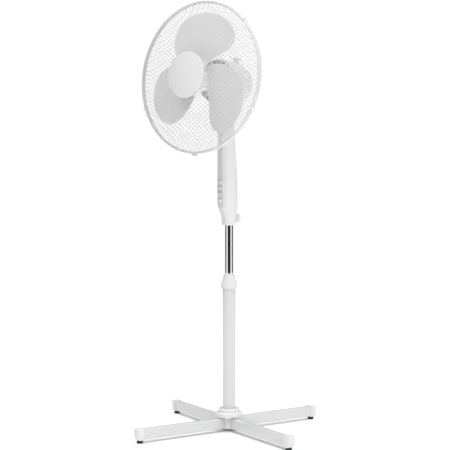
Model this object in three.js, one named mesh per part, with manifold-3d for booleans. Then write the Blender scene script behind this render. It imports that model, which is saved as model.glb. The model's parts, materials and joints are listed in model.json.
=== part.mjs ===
// A pedestal fan on a cross base: a telescopic column with a clamp nut, a control housing with
// four push buttons, and a tilting, swinging head with a three-paddle blade inside two guards.
// Millimetres, +Z up, the origin on the floor under the column, the fan's front towards -Y.
import * as THREE from 'three';
import { mergeVertices } from 'three/addons/utils/BufferGeometryUtils.js';
import Module from 'manifold-3d';

const wasm = await Module();
wasm.setup();

// ---- driving dimensions ------------------------------------------------------------------

const GAP = 0.3; // between pieces that are fitted or bolted together
const RUN = 0.4; // round a piece that slides or turns

// Cross base
const FOOT_HEIGHT = 8;
const FOOT_RADIUS = 8.75;
const FOOT_STEM_RADIUS = 4;
const FOOT_STEM_RISE = 3; // of the stem above the leg's lower wall
const FOOT_EDGE = 1;
const LEG_REACH = 318; // column axis to the outer face of a leg cap
const FOOT_INSET = 13; // foot axis from that face
const LEG_WIDTH = 20;
const LEG_HEIGHT = 30.5;
const LEG_WALL = 1.5;
const CAP_WALL = 1.5;
const CAP_LENGTH = 21;
const CAP_END = 3;
const CAP_CORNER = 9;
const HUB_WALL = 3.45; // round the column's lower tube
const HUB_TOP = 43.5;
const HUB_FLOOR = 6;
const HUB_STUB = 38;
const COVER_FLANGE = 21.25; // from the tube's surface
const COVER_FLANGE_HEIGHT = 13;
const COVER_RING = 12.75;
const COVER_RING_HEIGHT = 12;
const BASE_BOLT_RADIUS = 4;
const BASE_BOLT_HEAD_RADIUS = 8;
const BASE_BOLT_HEAD = 3.5;

// Column
const TUBE_RADIUS = 19.25;
const TUBE_WALL = 1.2;
const TUBE_TOP = 441;
const TUBE_FLOOR = 10; // closed lower end of the tube, for the base bolt
const NUT_WALL = 1.85;
const NUT_SKIRT = 13; // how far the nut's band hangs below the tube's top
const NUT_BAND = 23;
const NUT_CONE = 18;
const NUT_STEP = 3.5; // from the band's surface in to the cone
const NUT_CONE_WALL = 3.4;
const NUT_NECK = 4; // height of the nut's narrow bore at its top
const COLLET_DROP = 9; // collet's top below the nut's
const NUT_TOP_WALL = 4.5; // round the pole
const SLEEVE_WALL = 1.7;
const SLEEVE_GUIDE = 36; // length of the sleeve inside the tube
const SLEEVE_HEAD = 8; // height of the sleeve above the tube
const POLE_RADIUS = 12.5;
const POLE_WALL = 1;
const POLE_SHOWN = 148; // pole seen between the clamp nut and the housing
const POLE_SEAT = 35; // pole inside the housing's socket
const POLE_RISE = 60; // how much further the pole can be drawn out
const BUSH_HEIGHT = 17;

// Control housing: heights are above its lower edge, the rest is half widths and depths
const SOCKET_WALL = 8; // round the pole
const SOCKET_HEIGHT = 32;
const HOUSING_WALL = 2.2;
const HOUSING_FLOOR = 43;
const HOUSING_ROOF = 305;
const HOUSING_SECTIONS = [
  { rise: 25, half: 20, front: 20.5, back: 20.3, strip: 9 },
  { rise: 51, half: 25.5, front: 31, back: 24.8, strip: 14.5 },
  { rise: 92, half: 27, front: 32.5, back: 25.5, strip: 15 },
  { rise: 143, half: 25.3, front: 32.6, back: 23.6, strip: 14 },
  { rise: 224, half: 21, front: 33, back: 18.3, strip: 12 },
  { rise: 273, half: 19, front: 32.5, back: 14.5, strip: 11 },
  { rise: 313, half: 17.5, front: 31.5, back: 12.5, strip: 10 },
];
const PANEL_DEPTH = 5.2; // how far the front panel wraps back from its face
const PANEL_BOTTOM = 55;
const PANEL_TOP = 298;
const BUTTON_COUNT = 4;
const BUTTON_WIDTH = 17;
const BUTTON_HEIGHT = 11;
const BUTTON_PITCH = 18.5;
const BUTTON_TOP_RISE = 127.5; // centre of the highest button
const BUTTON_PROUD = 4.5;
const BUTTON_LENGTH = 14;
const BUTTON_TRAVEL = 3;
const KNOB_RISE = 21; // lock knob axis
const KNOB_RADIUS = 12.5;
const KNOB_THICKNESS = 8;
const KNOB_NECK = 5.5;
const KNOB_NECK_RADIUS = 7.5;
const KNOB_SHANK_RADIUS = 4;
const GLAND_RISE = 62;
const GLAND_RADIUS = 6.5;
const GLAND_HOLE = 3;

// Tilt joint and swivel
const TILT_RISE = 328.35; // tilt axis above the housing's lower edge
const TILT_FORWARD = 6; // tilt axis in front of the column axis
const TILT_BOLT_RADIUS = 3;
const EAR_RADIUS = 12;
const EAR_INNER = 10.2;
const EAR_OUTER = 17;
const SWIVEL_PIN_RADIUS = 8;
const SWIVEL_SOCKET_RADIUS = 15;
const SWIVEL_SOCKET_BOTTOM = 16; // above the tilt axis
const SWIVEL_SOCKET_TOP = 31;
const WASHER = 2;
const AXIS_RISE = 91; // motor axis above the tilt axis
const REST_TILT = 4.47; // degrees, face up
const REST_SWING = 18.2; // degrees, face towards +X
const SWING_LIMIT = 40; // degrees each side of straight ahead

// Motor, with distances along its axis counted forward from the swivel axis
const MOTOR_RADIUS = 64;
const MOTOR_WALL = 2.5;
const MOTOR_FRONT = 67;
const MOTOR_SEAM = 22;
const MOTOR_REAR = 61.5;
const BOSS_RADIUS = 18;
const BOSS_LENGTH = 12;
const NECK_OPENING = 26;
const VENT_COUNT = 20;
const VENT_WIDTH = 6;
const VENT_DEPTH = 17; // inwards from the front cover's surface
const STATOR_MARGIN = 26; // from the covers' surface in to the stator
const STATOR_BORE = 23;
const STATOR_BACK = 24;
const STATOR_FRONT = 48;
const COIL_OUT = 6;
const AIR_GAP = 0.7;
const SHAFT_RADIUS = 4;
const SHAFT_FRONT = 165;
const SHAFT_BACK = 40;
const BEARING_PLATE = 4;
const PLATE_MARGIN = 5; // the plate is smaller than the stator by this
const CASE_HALF_WIDTH = 15;
const CASE_BACK = 44;
const CASE_WALL = 2.5;
const CASE_BOTTOM = 31.5; // below the motor axis
const CASE_TOP = 10;
const BRACKET_CLEARANCE = 0.7; // motor bracket below the stator and the swing link
const BRACKET_PLATE = 5.5;
const CRANK_BACK = 28; // crank axis behind the swivel axis
const CRANK_THICKNESS = 3;
const CRANK_PIN_RADIUS = 2.5;
const ANCHOR_REACH = 19; // fixed link pin from the swivel axis
const LINK_WIDTH = 8;
const WORM_RADIUS = 5.5;
const WORM_GEAR_RADIUS = 7.5;
const CLUTCH_KNOB_RADIUS = 11;
const CLUTCH_KNOB_HEIGHT = 19;
const CLUTCH_STEM_RADIUS = 3;

// Blade and guards, also along the motor axis
const GUARD_RADIUS = 220;
const RIM_SEAM = 138.5;
const RIM_RING = 4.2; // axial size of each guard's rim ring
const RIM_DEPTH = 5;
const BAND_WALL = 1.6;
const FRONT_DOME = 59;
const REAR_DOME_FOOT = 5.5; // from the dome's middle forward to the motor's front face
const RIB_COUNT = 12;
const RIB_SIZE = 3;
const FRONT_PLATE_RADIUS = 64;
const REAR_PLATE_RADIUS = 40;
const HUB_CAP_RADIUS = 66;
const HUB_CAP_RISE = 8;
const LUG_REACH = 5; // of the band's two lugs, from its surface
const LUG_SCREW_RADIUS = 1.2;
const CLIP_ANGLES = [132, 48, -24, -156];
const CLIP_WIDTH = 9;
const CLIP_WALL = 1.6;
const BLADE_COUNT = 3;
const TIP_CLEARANCE = 33; // from a paddle's tip to the guards' outer edge
const BLADE_SWELL = 66; // radius past which a paddle narrows
const BLADE_THICKNESS = 2.4;
const BLADE_BACK = 2.5; // the paddles' middle behind the guards' seam
const BLADE_TWIST = 31; // forward rise for each radian across a paddle
const PADDLE_HALF_ANGLE = 47;
const PADDLE_ANGLE = 83; // middle of a paddle's tip
const PADDLE_SWEEP = 20; // from its tip back to its swell
const TWIST_RADIUS = 150; // where the twist is as given
const BLADE_HUB_RADIUS = 36;
const BLADE_HUB_BACK = 112;
const BLADE_HUB_FRONT = 158;
const SPINNER_RADIUS = 13;
const SPINNER_LENGTH = 12;

// ---- shapes ------------------------------------------------------------------------------

const rad = THREE.MathUtils.degToRad;
const X = new THREE.Vector3(1, 0, 0);
const Y = new THREE.Vector3(0, 1, 0);
const Z = new THREE.Vector3(0, 0, 1);

// A closed geometry as a manifold solid, without the flat triangles of a pole.
function solid(geometry) {
  const bare = geometry.clone();
  bare.deleteAttribute('normal');
  bare.deleteAttribute('uv');
  const merged = mergeVertices(bare);
  const corners = merged.index.array;
  const kept = [];
  for (let i = 0; i < corners.length; i += 3) {
    const [a, b, c] = corners.slice(i, i + 3);
    if (a !== b && b !== c && c !== a) kept.push(a, b, c);
  }
  return new wasm.Manifold(new wasm.Mesh({
    numProp: 3,
    vertProperties: new Float32Array(merged.attributes.position.array),
    triVerts: new Uint32Array(kept),
  }));
}

function geometryOf(manifold) {
  const mesh = manifold.getMesh();
  const geometry = new THREE.BufferGeometry();
  geometry.setAttribute('position', new THREE.BufferAttribute(mesh.vertProperties, 3));
  geometry.setIndex(new THREE.BufferAttribute(mesh.triVerts, 1));
  return geometry;
}

const join = (...pieces) => geometryOf(pieces.map(solid).reduce((whole, piece) => whole.add(piece)));
const cut = (body, ...tools) =>
  geometryOf(tools.reduce((rest, tool) => rest.subtract(solid(tool)), solid(body)));
const common = (body, zone) => geometryOf(solid(body).intersect(solid(zone)));

// A block between two values on each axis.
const block = ([x0, x1], [y0, y1], [z0, z1]) =>
  new THREE.BoxGeometry(x1 - x0, y1 - y0, z1 - z0).translate((x0 + x1) / 2, (y0 + y1) / 2, (z0 + z1) / 2);

// Turned pieces: a profile of [radius, height] points, anticlockwise, round Y, Z, X or the motor axis.
const turnedY = (profile, sides = 20) =>
  new THREE.LatheGeometry(profile.map(([r, h]) => new THREE.Vector2(r, h)), sides);
const turned = (profile, sides) => turnedY(profile, sides).rotateX(Math.PI / 2);
const turnedX = (profile, sides) => turnedY(profile, sides).rotateZ(-Math.PI / 2);
const turnedForward = (profile, sides) => turnedY(profile, sides).rotateX(Math.PI);

// A closed profile of a plain ring.
const ring = (inner, outer, low, high) =>
  [[inner, low], [outer, low], [outer, high], [inner, high], [inner, low]];

// A rod along Z at a place in plan, and one along X at a place in side view.
const rod = (radius, low, high, x = 0, y = 0, sides = 16) =>
  new THREE.CylinderGeometry(radius, radius, high - low, sides)
    .rotateX(Math.PI / 2).translate(x, y, (low + high) / 2);
const rodX = (radius, low, high, y = 0, z = 0, sides = 16) =>
  new THREE.CylinderGeometry(radius, radius, high - low, sides)
    .rotateZ(Math.PI / 2).translate((low + high) / 2, y, z);
const rodY = (radius, low, high, x = 0, z = 0, sides = 16) =>
  new THREE.CylinderGeometry(radius, radius, high - low, sides).translate(x, (low + high) / 2, z);

// A skin over rings of equal point count, closed at both ends by strips between mirrored points.
function loft(rings) {
  const count = rings[0].length;
  const index = [];
  for (let i = 0; i + 1 < rings.length; i += 1) {
    for (let j = 0; j < count; j += 1) {
      const a = i * count + j;
      const b = i * count + (j + 1) % count;
      index.push(a, b, b + count, a, b + count, a + count);
    }
  }
  const last = (rings.length - 1) * count;
  for (let k = 0; k < Math.floor(count / 2); k += 1) {
    const [a, b, c, d] = [k, k + 1, count - 2 - k, count - 1 - k];
    if (b < c) index.push(a, c, b, last + a, last + b, last + c);
    if (b <= c) index.push(a, d, c, last + a, last + c, last + d);
  }
  const geometry = new THREE.BufferGeometry();
  geometry.setAttribute('position', new THREE.Float32BufferAttribute(rings.flat(2), 3));
  geometry.setIndex(index);
  return geometry;
}

// ---- finishes ----------------------------------------------------------------------------

const finish = (color, roughness, metalness = 0) =>
  new THREE.MeshStandardMaterial({ color, roughness, metalness, flatShading: true });
const whitePaint = () => finish(0xe9eaea, 0.35);
const whitePlastic = () => finish(0xeeeeed, 0.4);
const greyPlastic = () => finish(0xc9cac9, 0.45);
const blackRubber = () => finish(0x141414, 0.8);
const chrome = () => finish(0xd8dadc, 0.08, 1);
const steel = () => finish(0x9a9c9e, 0.4, 1);
const blackPlastic = () => finish(0x26272a, 0.5);
const copper = () => finish(0xa8673c, 0.4, 1);
const brass = () => finish(0xb79a55, 0.4, 1);

const fan = new THREE.Group();

function add(group, name, geometry, material) {
  const mesh = new THREE.Mesh(geometry, material);
  mesh.name = name;
  group.add(mesh);
  return mesh;
}

// ---- cross base --------------------------------------------------------------------------

const footReach = LEG_REACH - FOOT_INSET;
const hubRadius = TUBE_RADIUS + GAP + HUB_WALL;
const capBottom = FOOT_HEIGHT;
const legBottom = capBottom + CAP_WALL + GAP;
const legTop = legBottom + LEG_HEIGHT;
const capHalfWidth = LEG_WIDTH / 2 + GAP + CAP_WALL;
const capTop = legTop + GAP + CAP_WALL;
const tubeSeat = capBottom + HUB_FLOOR;

// Leg tube: a rectangular steel section, from the hub to the inside of its cap.
function legTube() {
  const outline = new THREE.Shape([
    new THREE.Vector2(-LEG_WIDTH / 2, legBottom), new THREE.Vector2(LEG_WIDTH / 2, legBottom),
    new THREE.Vector2(LEG_WIDTH / 2, legTop), new THREE.Vector2(-LEG_WIDTH / 2, legTop),
  ]);
  const inner = LEG_WIDTH / 2 - LEG_WALL;
  outline.holes.push(new THREE.Path([
    new THREE.Vector2(-inner, legBottom + LEG_WALL), new THREE.Vector2(inner, legBottom + LEG_WALL),
    new THREE.Vector2(inner, legTop - LEG_WALL), new THREE.Vector2(-inner, legTop - LEG_WALL),
  ]));
  const start = hubRadius + GAP;
  const depth = LEG_REACH - CAP_END - GAP - start;
  const tube = new THREE.ExtrudeGeometry(outline, { depth, bevelEnabled: false })
    .applyMatrix4(new THREE.Matrix4().makeBasis(Y, Z, X)).translate(start, 0, 0);
  return cut(tube, rod(FOOT_STEM_RADIUS + RUN, capBottom, legBottom + 2 * LEG_WALL, footReach));
}

// Leg cap: a plastic shoe over the tube's end, its lower outer corner rounded.
function legCap() {
  const inner = LEG_REACH - CAP_LENGTH;
  const outline = new THREE.Shape();
  outline.moveTo(inner, capBottom);
  outline.lineTo(LEG_REACH - CAP_CORNER, capBottom);
  outline.absarc(LEG_REACH - CAP_CORNER, capBottom + CAP_CORNER, CAP_CORNER, -Math.PI / 2, 0, false);
  outline.lineTo(LEG_REACH, capTop);
  outline.lineTo(inner, capTop);
  const shoe = new THREE.ExtrudeGeometry(outline, {
    depth: 2 * capHalfWidth, bevelEnabled: false, curveSegments: 6,
  }).rotateX(Math.PI / 2).translate(0, capHalfWidth, 0);
  const pocket = block([inner - 1, LEG_REACH - CAP_END],
    [-LEG_WIDTH / 2 - GAP, LEG_WIDTH / 2 + GAP], [legBottom - GAP, legTop + GAP]);
  return cut(shoe, pocket, rod(FOOT_STEM_RADIUS + GAP, capBottom - 1, legBottom, footReach));
}

// Foot: a rubber pad whose stem is pushed up into the cap and the tube.
function foot() {
  const pad = capBottom - GAP;
  const stemTop = legBottom + LEG_WALL + FOOT_STEM_RISE;
  return turned([
    [0, 0], [FOOT_RADIUS - FOOT_EDGE, 0], [FOOT_RADIUS, FOOT_EDGE], [FOOT_RADIUS, pad],
    [FOOT_STEM_RADIUS, pad], [FOOT_STEM_RADIUS, stemTop], [0, stemTop],
  ], 14).translate(footReach, 0, 0);
}

// Hub: a round boss with a stub inside each leg and a blind socket for the column's lower tube.
function baseHub() {
  const stubHalf = LEG_WIDTH / 2 - LEG_WALL - GAP;
  const stub = block([-hubRadius - HUB_STUB, hubRadius + HUB_STUB], [-stubHalf, stubHalf],
    [legBottom + LEG_WALL + GAP, legTop - LEG_WALL - GAP]);
  const body = join(rod(hubRadius, capBottom, HUB_TOP, 0, 0, 24), stub, stub.clone().rotateZ(Math.PI / 2));
  return cut(body, rod(TUBE_RADIUS + GAP, tubeSeat, HUB_TOP + 1, 0, 0, 24),
    rod(BASE_BOLT_RADIUS + GAP, 0, tubeSeat + 1));
}

add(fan, 'base_hub', baseHub(), whitePlastic());
for (const [side, turn] of [['right', 0], ['back', 90], ['left', 180], ['front', 270]]) {
  const arm = new THREE.Group();
  arm.rotation.z = rad(turn);
  fan.add(arm);
  add(arm, `leg_${side}`, legTube(), whitePaint());
  add(arm, `leg_cap_${side}`, legCap(), whitePlastic());
  add(arm, `foot_${side}`, foot(), blackRubber());
}

// Cover ring that slides down the tube and hides the joint.
const coverBottom = HUB_TOP + GAP;
const coverStep = coverBottom + COVER_FLANGE_HEIGHT;
const coverTop = coverStep + COVER_RING_HEIGHT;
const coverBore = TUBE_RADIUS + GAP;
const flangeRadius = TUBE_RADIUS + COVER_FLANGE;
const coverRing = TUBE_RADIUS + COVER_RING;
add(fan, 'base_cover', turned([
  [coverBore, coverBottom], [flangeRadius - 1, coverBottom], [flangeRadius, coverBottom + 1],
  [flangeRadius, coverStep - 5], [flangeRadius - 1.5, coverStep - 1.5],
  [flangeRadius - 5, coverStep], [coverRing, coverStep + 0.5],
  [coverRing, coverTop - 4], [coverRing - 1.2, coverTop - 1.2],
  [coverRing - 4, coverTop], [coverBore, coverTop], [coverBore, coverBottom],
]), whitePlastic());

// Bolt from below, through the hub's floor into the closed end of the tube.
const boltHead = rod(BASE_BOLT_HEAD_RADIUS, capBottom - GAP - BASE_BOLT_HEAD, capBottom - GAP, 0, 0, 6);
add(fan, 'base_bolt', join(boltHead, rod(BASE_BOLT_RADIUS, capBottom - 1, tubeSeat + TUBE_FLOOR + 3)), steel());

// ---- column ------------------------------------------------------------------------------

const tubeInner = TUBE_RADIUS - TUBE_WALL;
const tubeBottom = tubeSeat + GAP;
const tubeFloorTop = tubeSeat + TUBE_FLOOR;
const boltBore = BASE_BOLT_RADIUS + GAP;
add(fan, 'lower_tube', turned([
  [boltBore, tubeBottom], [TUBE_RADIUS, tubeBottom], [TUBE_RADIUS, TUBE_TOP], [tubeInner, TUBE_TOP],
  [tubeInner, tubeFloorTop], [boltBore, tubeFloorTop], [boltBore, tubeBottom],
]), whitePaint());

// Sleeve pressed on the tube's top; its thread carries the clamp nut and its bore guides the pole.
const sleeveTop = TUBE_TOP + SLEEVE_HEAD;
const sleeveRadius = TUBE_RADIUS + GAP + SLEEVE_WALL;
const sleeveSkirt = TUBE_TOP - NUT_SKIRT + 2;
const guideBottom = TUBE_TOP - SLEEVE_GUIDE;
const guideBore = POLE_RADIUS + RUN;
add(fan, 'collar_sleeve', turned([
  [guideBore, guideBottom], [tubeInner - GAP, guideBottom], [tubeInner - GAP, TUBE_TOP + GAP],
  [TUBE_RADIUS + GAP, TUBE_TOP + GAP], [TUBE_RADIUS + GAP, sleeveSkirt], [sleeveRadius, sleeveSkirt],
  [sleeveRadius, sleeveTop], [guideBore, sleeveTop], [guideBore, guideBottom],
]), whitePlastic());

// Clamp nut: a band round the sleeve and a cone that squeezes the collet on the pole.
const nutBottom = TUBE_TOP - NUT_SKIRT;
const nutShoulder = nutBottom + NUT_BAND;
const nutTop = nutShoulder + NUT_CONE;
const nutBore = sleeveRadius + RUN;
const nutRadius = nutBore + NUT_WALL;
const coneBase = nutRadius - NUT_STEP;
const coneTop = POLE_RADIUS + NUT_TOP_WALL;
const coneInner = coneBase - NUT_CONE_WALL;
const nutSeat = sleeveTop + RUN;
add(fan, 'clamp_nut', turned([
  [nutBore, nutBottom], [nutRadius - 0.6, nutBottom], [nutRadius, nutBottom + 0.6],
  [nutRadius, nutShoulder - 1.5], [nutRadius - 1.5, nutShoulder], [coneBase, nutShoulder + 0.4],
  [coneTop, nutTop - 1], [coneTop - 1, nutTop], [guideBore + 0.2, nutTop],
  [guideBore + 0.2, nutTop - NUT_NECK], [coneInner, nutShoulder + 0.4], [coneInner, nutSeat], [nutBore, nutSeat],
  [nutBore, nutBottom],
]), whitePlastic());

// Collet: a split tapered ring round the pole, under the nut's cone.
const colletBottom = sleeveTop + GAP;
const colletTop = nutTop - COLLET_DROP;
add(fan, 'collar_collet', cut(
  turned([
    [guideBore, colletBottom], [coneInner - RUN, colletBottom], [coneInner - RUN, nutShoulder],
    [guideBore + 0.8, colletTop], [guideBore, colletTop], [guideBore, colletBottom],
  ]),
  block([-1, 1], [0, 2 * coneInner], [colletBottom - 1, colletTop + 1]),
), blackPlastic());

const housingBottom = nutTop + POLE_SHOWN;
const poleTop = housingBottom + POLE_SEAT;
const socketRadius = POLE_RADIUS + SOCKET_WALL;
const bushTop = guideBottom - POLE_RISE;
const poleBottom = bushTop - BUSH_HEIGHT + 3;
add(fan, 'chrome_pole', turned([
  [POLE_RADIUS - POLE_WALL, poleBottom], [POLE_RADIUS, poleBottom], [POLE_RADIUS, poleTop],
  [POLE_RADIUS - POLE_WALL, poleTop], [POLE_RADIUS - POLE_WALL, poleBottom],
]), chrome());

// Guide bush on the pole's lower end; it meets the sleeve when the pole is fully drawn out.
add(fan, 'pole_bush', turned([
  [POLE_RADIUS - POLE_WALL, bushTop - BUSH_HEIGHT], [tubeInner - RUN, bushTop - BUSH_HEIGHT],
  [tubeInner - RUN, bushTop], [POLE_RADIUS + GAP, bushTop], [POLE_RADIUS + GAP, poleBottom - GAP],
  [POLE_RADIUS - POLE_WALL, poleBottom - GAP], [POLE_RADIUS - POLE_WALL, bushTop - BUSH_HEIGHT],
]), blackPlastic());

// ---- control housing ---------------------------------------------------------------------

// One level of the housing: a flat front strip, full sides and an elliptic back, drawn in by inset.
function housingSection({ rise, half, front, back, strip }, inset = 0) {
  const [w, f, b, s] = [half - inset, front - inset, back - inset, strip - inset / 2];
  const side = new THREE.QuadraticBezierCurve(
    new THREE.Vector2(s, -f), new THREE.Vector2(w, -0.88 * f), new THREE.Vector2(w, 0));
  const rear = new THREE.EllipseCurve(0, 0, w, b, 0, Math.PI / 2);
  const right = [...side.getPoints(3), ...rear.getPoints(3).slice(1)];
  const left = right.slice(0, -1).reverse().map(({ x, y }) => new THREE.Vector2(-x, y));
  return [...right, ...left].map(({ x, y }) => [x, y, housingBottom + rise]);
}

// The housing's depth towards the front or back at a height above its lower edge.
function housingAt(rise, side) {
  const upper = HOUSING_SECTIONS.findIndex((section) => section.rise >= rise);
  const [a, b] = [HOUSING_SECTIONS[upper - 1], HOUSING_SECTIONS[upper]];
  return THREE.MathUtils.mapLinear(rise, a.rise, b.rise, a[side], b[side]);
}

// A level between two of the listed ones.
const levelAt = (rise) => ({
  rise,
  half: housingAt(rise, 'half'),
  front: housingAt(rise, 'front'),
  back: housingAt(rise, 'back'),
  strip: housingAt(rise, 'strip'),
});

const cavityLevels = [
  levelAt(HOUSING_FLOOR),
  ...HOUSING_SECTIONS.filter(({ rise }) => rise > HOUSING_FLOOR && rise < HOUSING_ROOF),
  levelAt(HOUSING_ROOF),
];
const housingBody = join(
  rod(socketRadius, housingBottom, housingBottom + SOCKET_HEIGHT, 0, 0, 24),
  loft(HOUSING_SECTIONS.map((section) => housingSection(section))),
);
const housingCavity = loft(cavityLevels.map((section) => housingSection(section, HOUSING_WALL)));
const panelFace = housingAt(BUTTON_TOP_RISE, 'front');
const panelBack = panelFace - PANEL_DEPTH;
const tiltHeight = housingBottom + TILT_RISE;

// The zone in front of the seam between shell and panel, taken in by a margin all round.
const panelZone = (margin) => block([-60, 60], [-60, -panelBack - margin],
  [housingBottom + PANEL_BOTTOM + margin, housingBottom + PANEL_TOP - margin]);

// Ears for the tilt bolt, standing on the housing's top.
function ear(side) {
  const [inner, outer] = side > 0 ? [EAR_INNER, EAR_OUTER] : [-EAR_OUTER, -EAR_INNER];
  const foot = housingBottom + HOUSING_ROOF + 1;
  return join(
    block([inner, outer], [-TILT_FORWARD - EAR_RADIUS, -TILT_FORWARD + EAR_RADIUS], [foot, tiltHeight]),
    rodX(EAR_RADIUS, inner, outer, -TILT_FORWARD, tiltHeight),
  );
}

const glandHeight = housingBottom + GLAND_RISE;
const glandFace = housingAt(GLAND_RISE, 'back');
const lockHeight = housingBottom + KNOB_RISE;
add(fan, 'housing_shell', cut(
  join(housingBody, ear(1), ear(-1)),
  housingCavity,
  panelZone(0),
  rod(POLE_RADIUS + GAP, housingBottom - 1, poleTop + GAP),
  rod(POLE_RADIUS - 2, poleTop, housingBottom + HOUSING_FLOOR + 1),
  rodY(KNOB_SHANK_RADIUS + RUN, 0, socketRadius + 5, 0, lockHeight),
  rodY(GLAND_RADIUS - 2, 0, glandFace + 5, 0, glandHeight),
  rodX(TILT_BOLT_RADIUS + GAP, -EAR_OUTER - 1, EAR_OUTER + 1, -TILT_FORWARD, tiltHeight),
), whitePlastic());

const buttonHeights = Array.from({ length: BUTTON_COUNT },
  (_, i) => housingBottom + BUTTON_TOP_RISE - i * BUTTON_PITCH);
const buttonZone = (height, margin, back, front) => block(
  [-BUTTON_WIDTH / 2 - margin, BUTTON_WIDTH / 2 + margin], [front, back],
  [height - BUTTON_HEIGHT / 2 - margin, height + BUTTON_HEIGHT / 2 + margin]);

add(fan, 'housing_front', cut(
  common(housingBody, panelZone(GAP)),
  housingCavity,
  ...buttonHeights.map((height) => buttonZone(height, RUN, 0, -60)),
), whitePlastic());

// Push buttons, each with a flange behind the panel; the lowest switches off.
const buttonFront = -panelFace - BUTTON_PROUD;
const lowestFace = housingAt(BUTTON_TOP_RISE - BUTTON_COUNT * BUTTON_PITCH, 'front');
const flangeFront = -lowestFace + HOUSING_WALL + 2 * GAP;
buttonHeights.forEach((height, i) => {
  const name = i === BUTTON_COUNT - 1 ? 'button_off' : `button_speed_${BUTTON_COUNT - 1 - i}`;
  add(fan, name, join(
    buttonZone(height, 0, buttonFront + BUTTON_LENGTH, buttonFront),
    buttonZone(height, 2, flangeFront + 1.6, flangeFront),
  ), whitePlastic());
});

// Switch block behind the buttons, on a rib to the back of the shell.
const switchFront = buttonFront + BUTTON_LENGTH + BUTTON_TRAVEL + GAP;
const switchBottom = buttonHeights[BUTTON_COUNT - 1] - BUTTON_HEIGHT;
const switchTop = buttonHeights[0] + BUTTON_HEIGHT;
const ribBack = housingAt(BUTTON_TOP_RISE, 'back') - HOUSING_WALL - 1.8;
add(fan, 'switch_block', join(
  block([-11, 11], [switchFront, switchFront + 22], [switchBottom, switchTop]),
  block([-4, 4], [switchFront + 21, ribBack], [switchBottom + 10, switchTop - 10]),
), blackPlastic());

// Motor run capacitor, in the neck above the switch.
const capacitorBottom = switchTop - housingBottom + 20;
const capacitorTop = capacitorBottom + 33;
const capacitorBack = housingAt(capacitorTop, 'back') - HOUSING_WALL - 2.5;
add(fan, 'run_capacitor', block([-7, 7], [capacitorBack - 21, capacitorBack],
  [housingBottom + capacitorBottom, housingBottom + capacitorTop]), blackPlastic());

// Cord gland: a flanged bush in the back of the housing.
add(fan, 'cord_gland', turnedY([
  [GLAND_HOLE, glandFace - HOUSING_WALL - 2], [GLAND_RADIUS - 2 - GAP, glandFace - HOUSING_WALL - 2],
  [GLAND_RADIUS - 2 - GAP, glandFace + GAP], [GLAND_RADIUS, glandFace + GAP],
  [GLAND_RADIUS - 0.5, glandFace + GAP + 2], [GLAND_HOLE + 1.2, glandFace + GAP + 4],
  [GLAND_HOLE, glandFace + GAP + 4], [GLAND_HOLE, glandFace - HOUSING_WALL - 2],
], 20).translate(0, 0, glandHeight), whitePlastic());

// Lock knob: a thumb screw that bears on the pole through the socket.
const knobNeckStart = Math.max(socketRadius, housingAt(KNOB_RISE + KNOB_NECK_RADIUS, 'back')) + RUN;
const knobBack = knobNeckStart + KNOB_NECK;
const knobFront = knobBack + KNOB_THICKNESS;
add(fan, 'lock_knob', turnedY([
  [0, POLE_RADIUS + GAP], [KNOB_SHANK_RADIUS, POLE_RADIUS + GAP], [KNOB_SHANK_RADIUS, knobNeckStart],
  [KNOB_NECK_RADIUS - 0.5, knobNeckStart], [KNOB_NECK_RADIUS, knobBack], [KNOB_RADIUS - 0.8, knobBack], [KNOB_RADIUS, knobBack + 0.8],
  [KNOB_RADIUS, knobFront - 2], [KNOB_RADIUS - 2, knobFront], [0, knobFront],
], 24).translate(0, 0, lockHeight), whitePlastic());

// ---- tilt joint --------------------------------------------------------------------------

const tiltOrigin = new THREE.Vector3(0, -TILT_FORWARD, tiltHeight);
const tiltMount = new THREE.Group();
tiltMount.position.copy(tiltOrigin);
fan.add(tiltMount);

const boltEnd = EAR_OUTER + 9;
add(tiltMount, 'tilt_bolt', turnedX([
  [0, -EAR_OUTER - 4.3], [6, -EAR_OUTER - 4.3], [6, -EAR_OUTER - GAP],
  [TILT_BOLT_RADIUS, -EAR_OUTER - GAP], [TILT_BOLT_RADIUS, boltEnd], [0, boltEnd],
], 16), steel());

add(tiltMount, 'tilt_knob', turnedX([
  [TILT_BOLT_RADIUS + GAP, EAR_OUTER + GAP], [6, EAR_OUTER + GAP], [7, EAR_OUTER + 3],
  [11, EAR_OUTER + 4], [11, EAR_OUTER + 11], [9.5, EAR_OUTER + 12.5], [0, EAR_OUTER + 12.5],
  [0, boltEnd + GAP], [TILT_BOLT_RADIUS + GAP, boltEnd + GAP], [TILT_BOLT_RADIUS + GAP, EAR_OUTER + GAP],
], 20), whitePlastic());

const tiltHead = new THREE.Group();
tiltHead.rotation.x = -rad(REST_TILT);
tiltMount.add(tiltHead);

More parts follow.
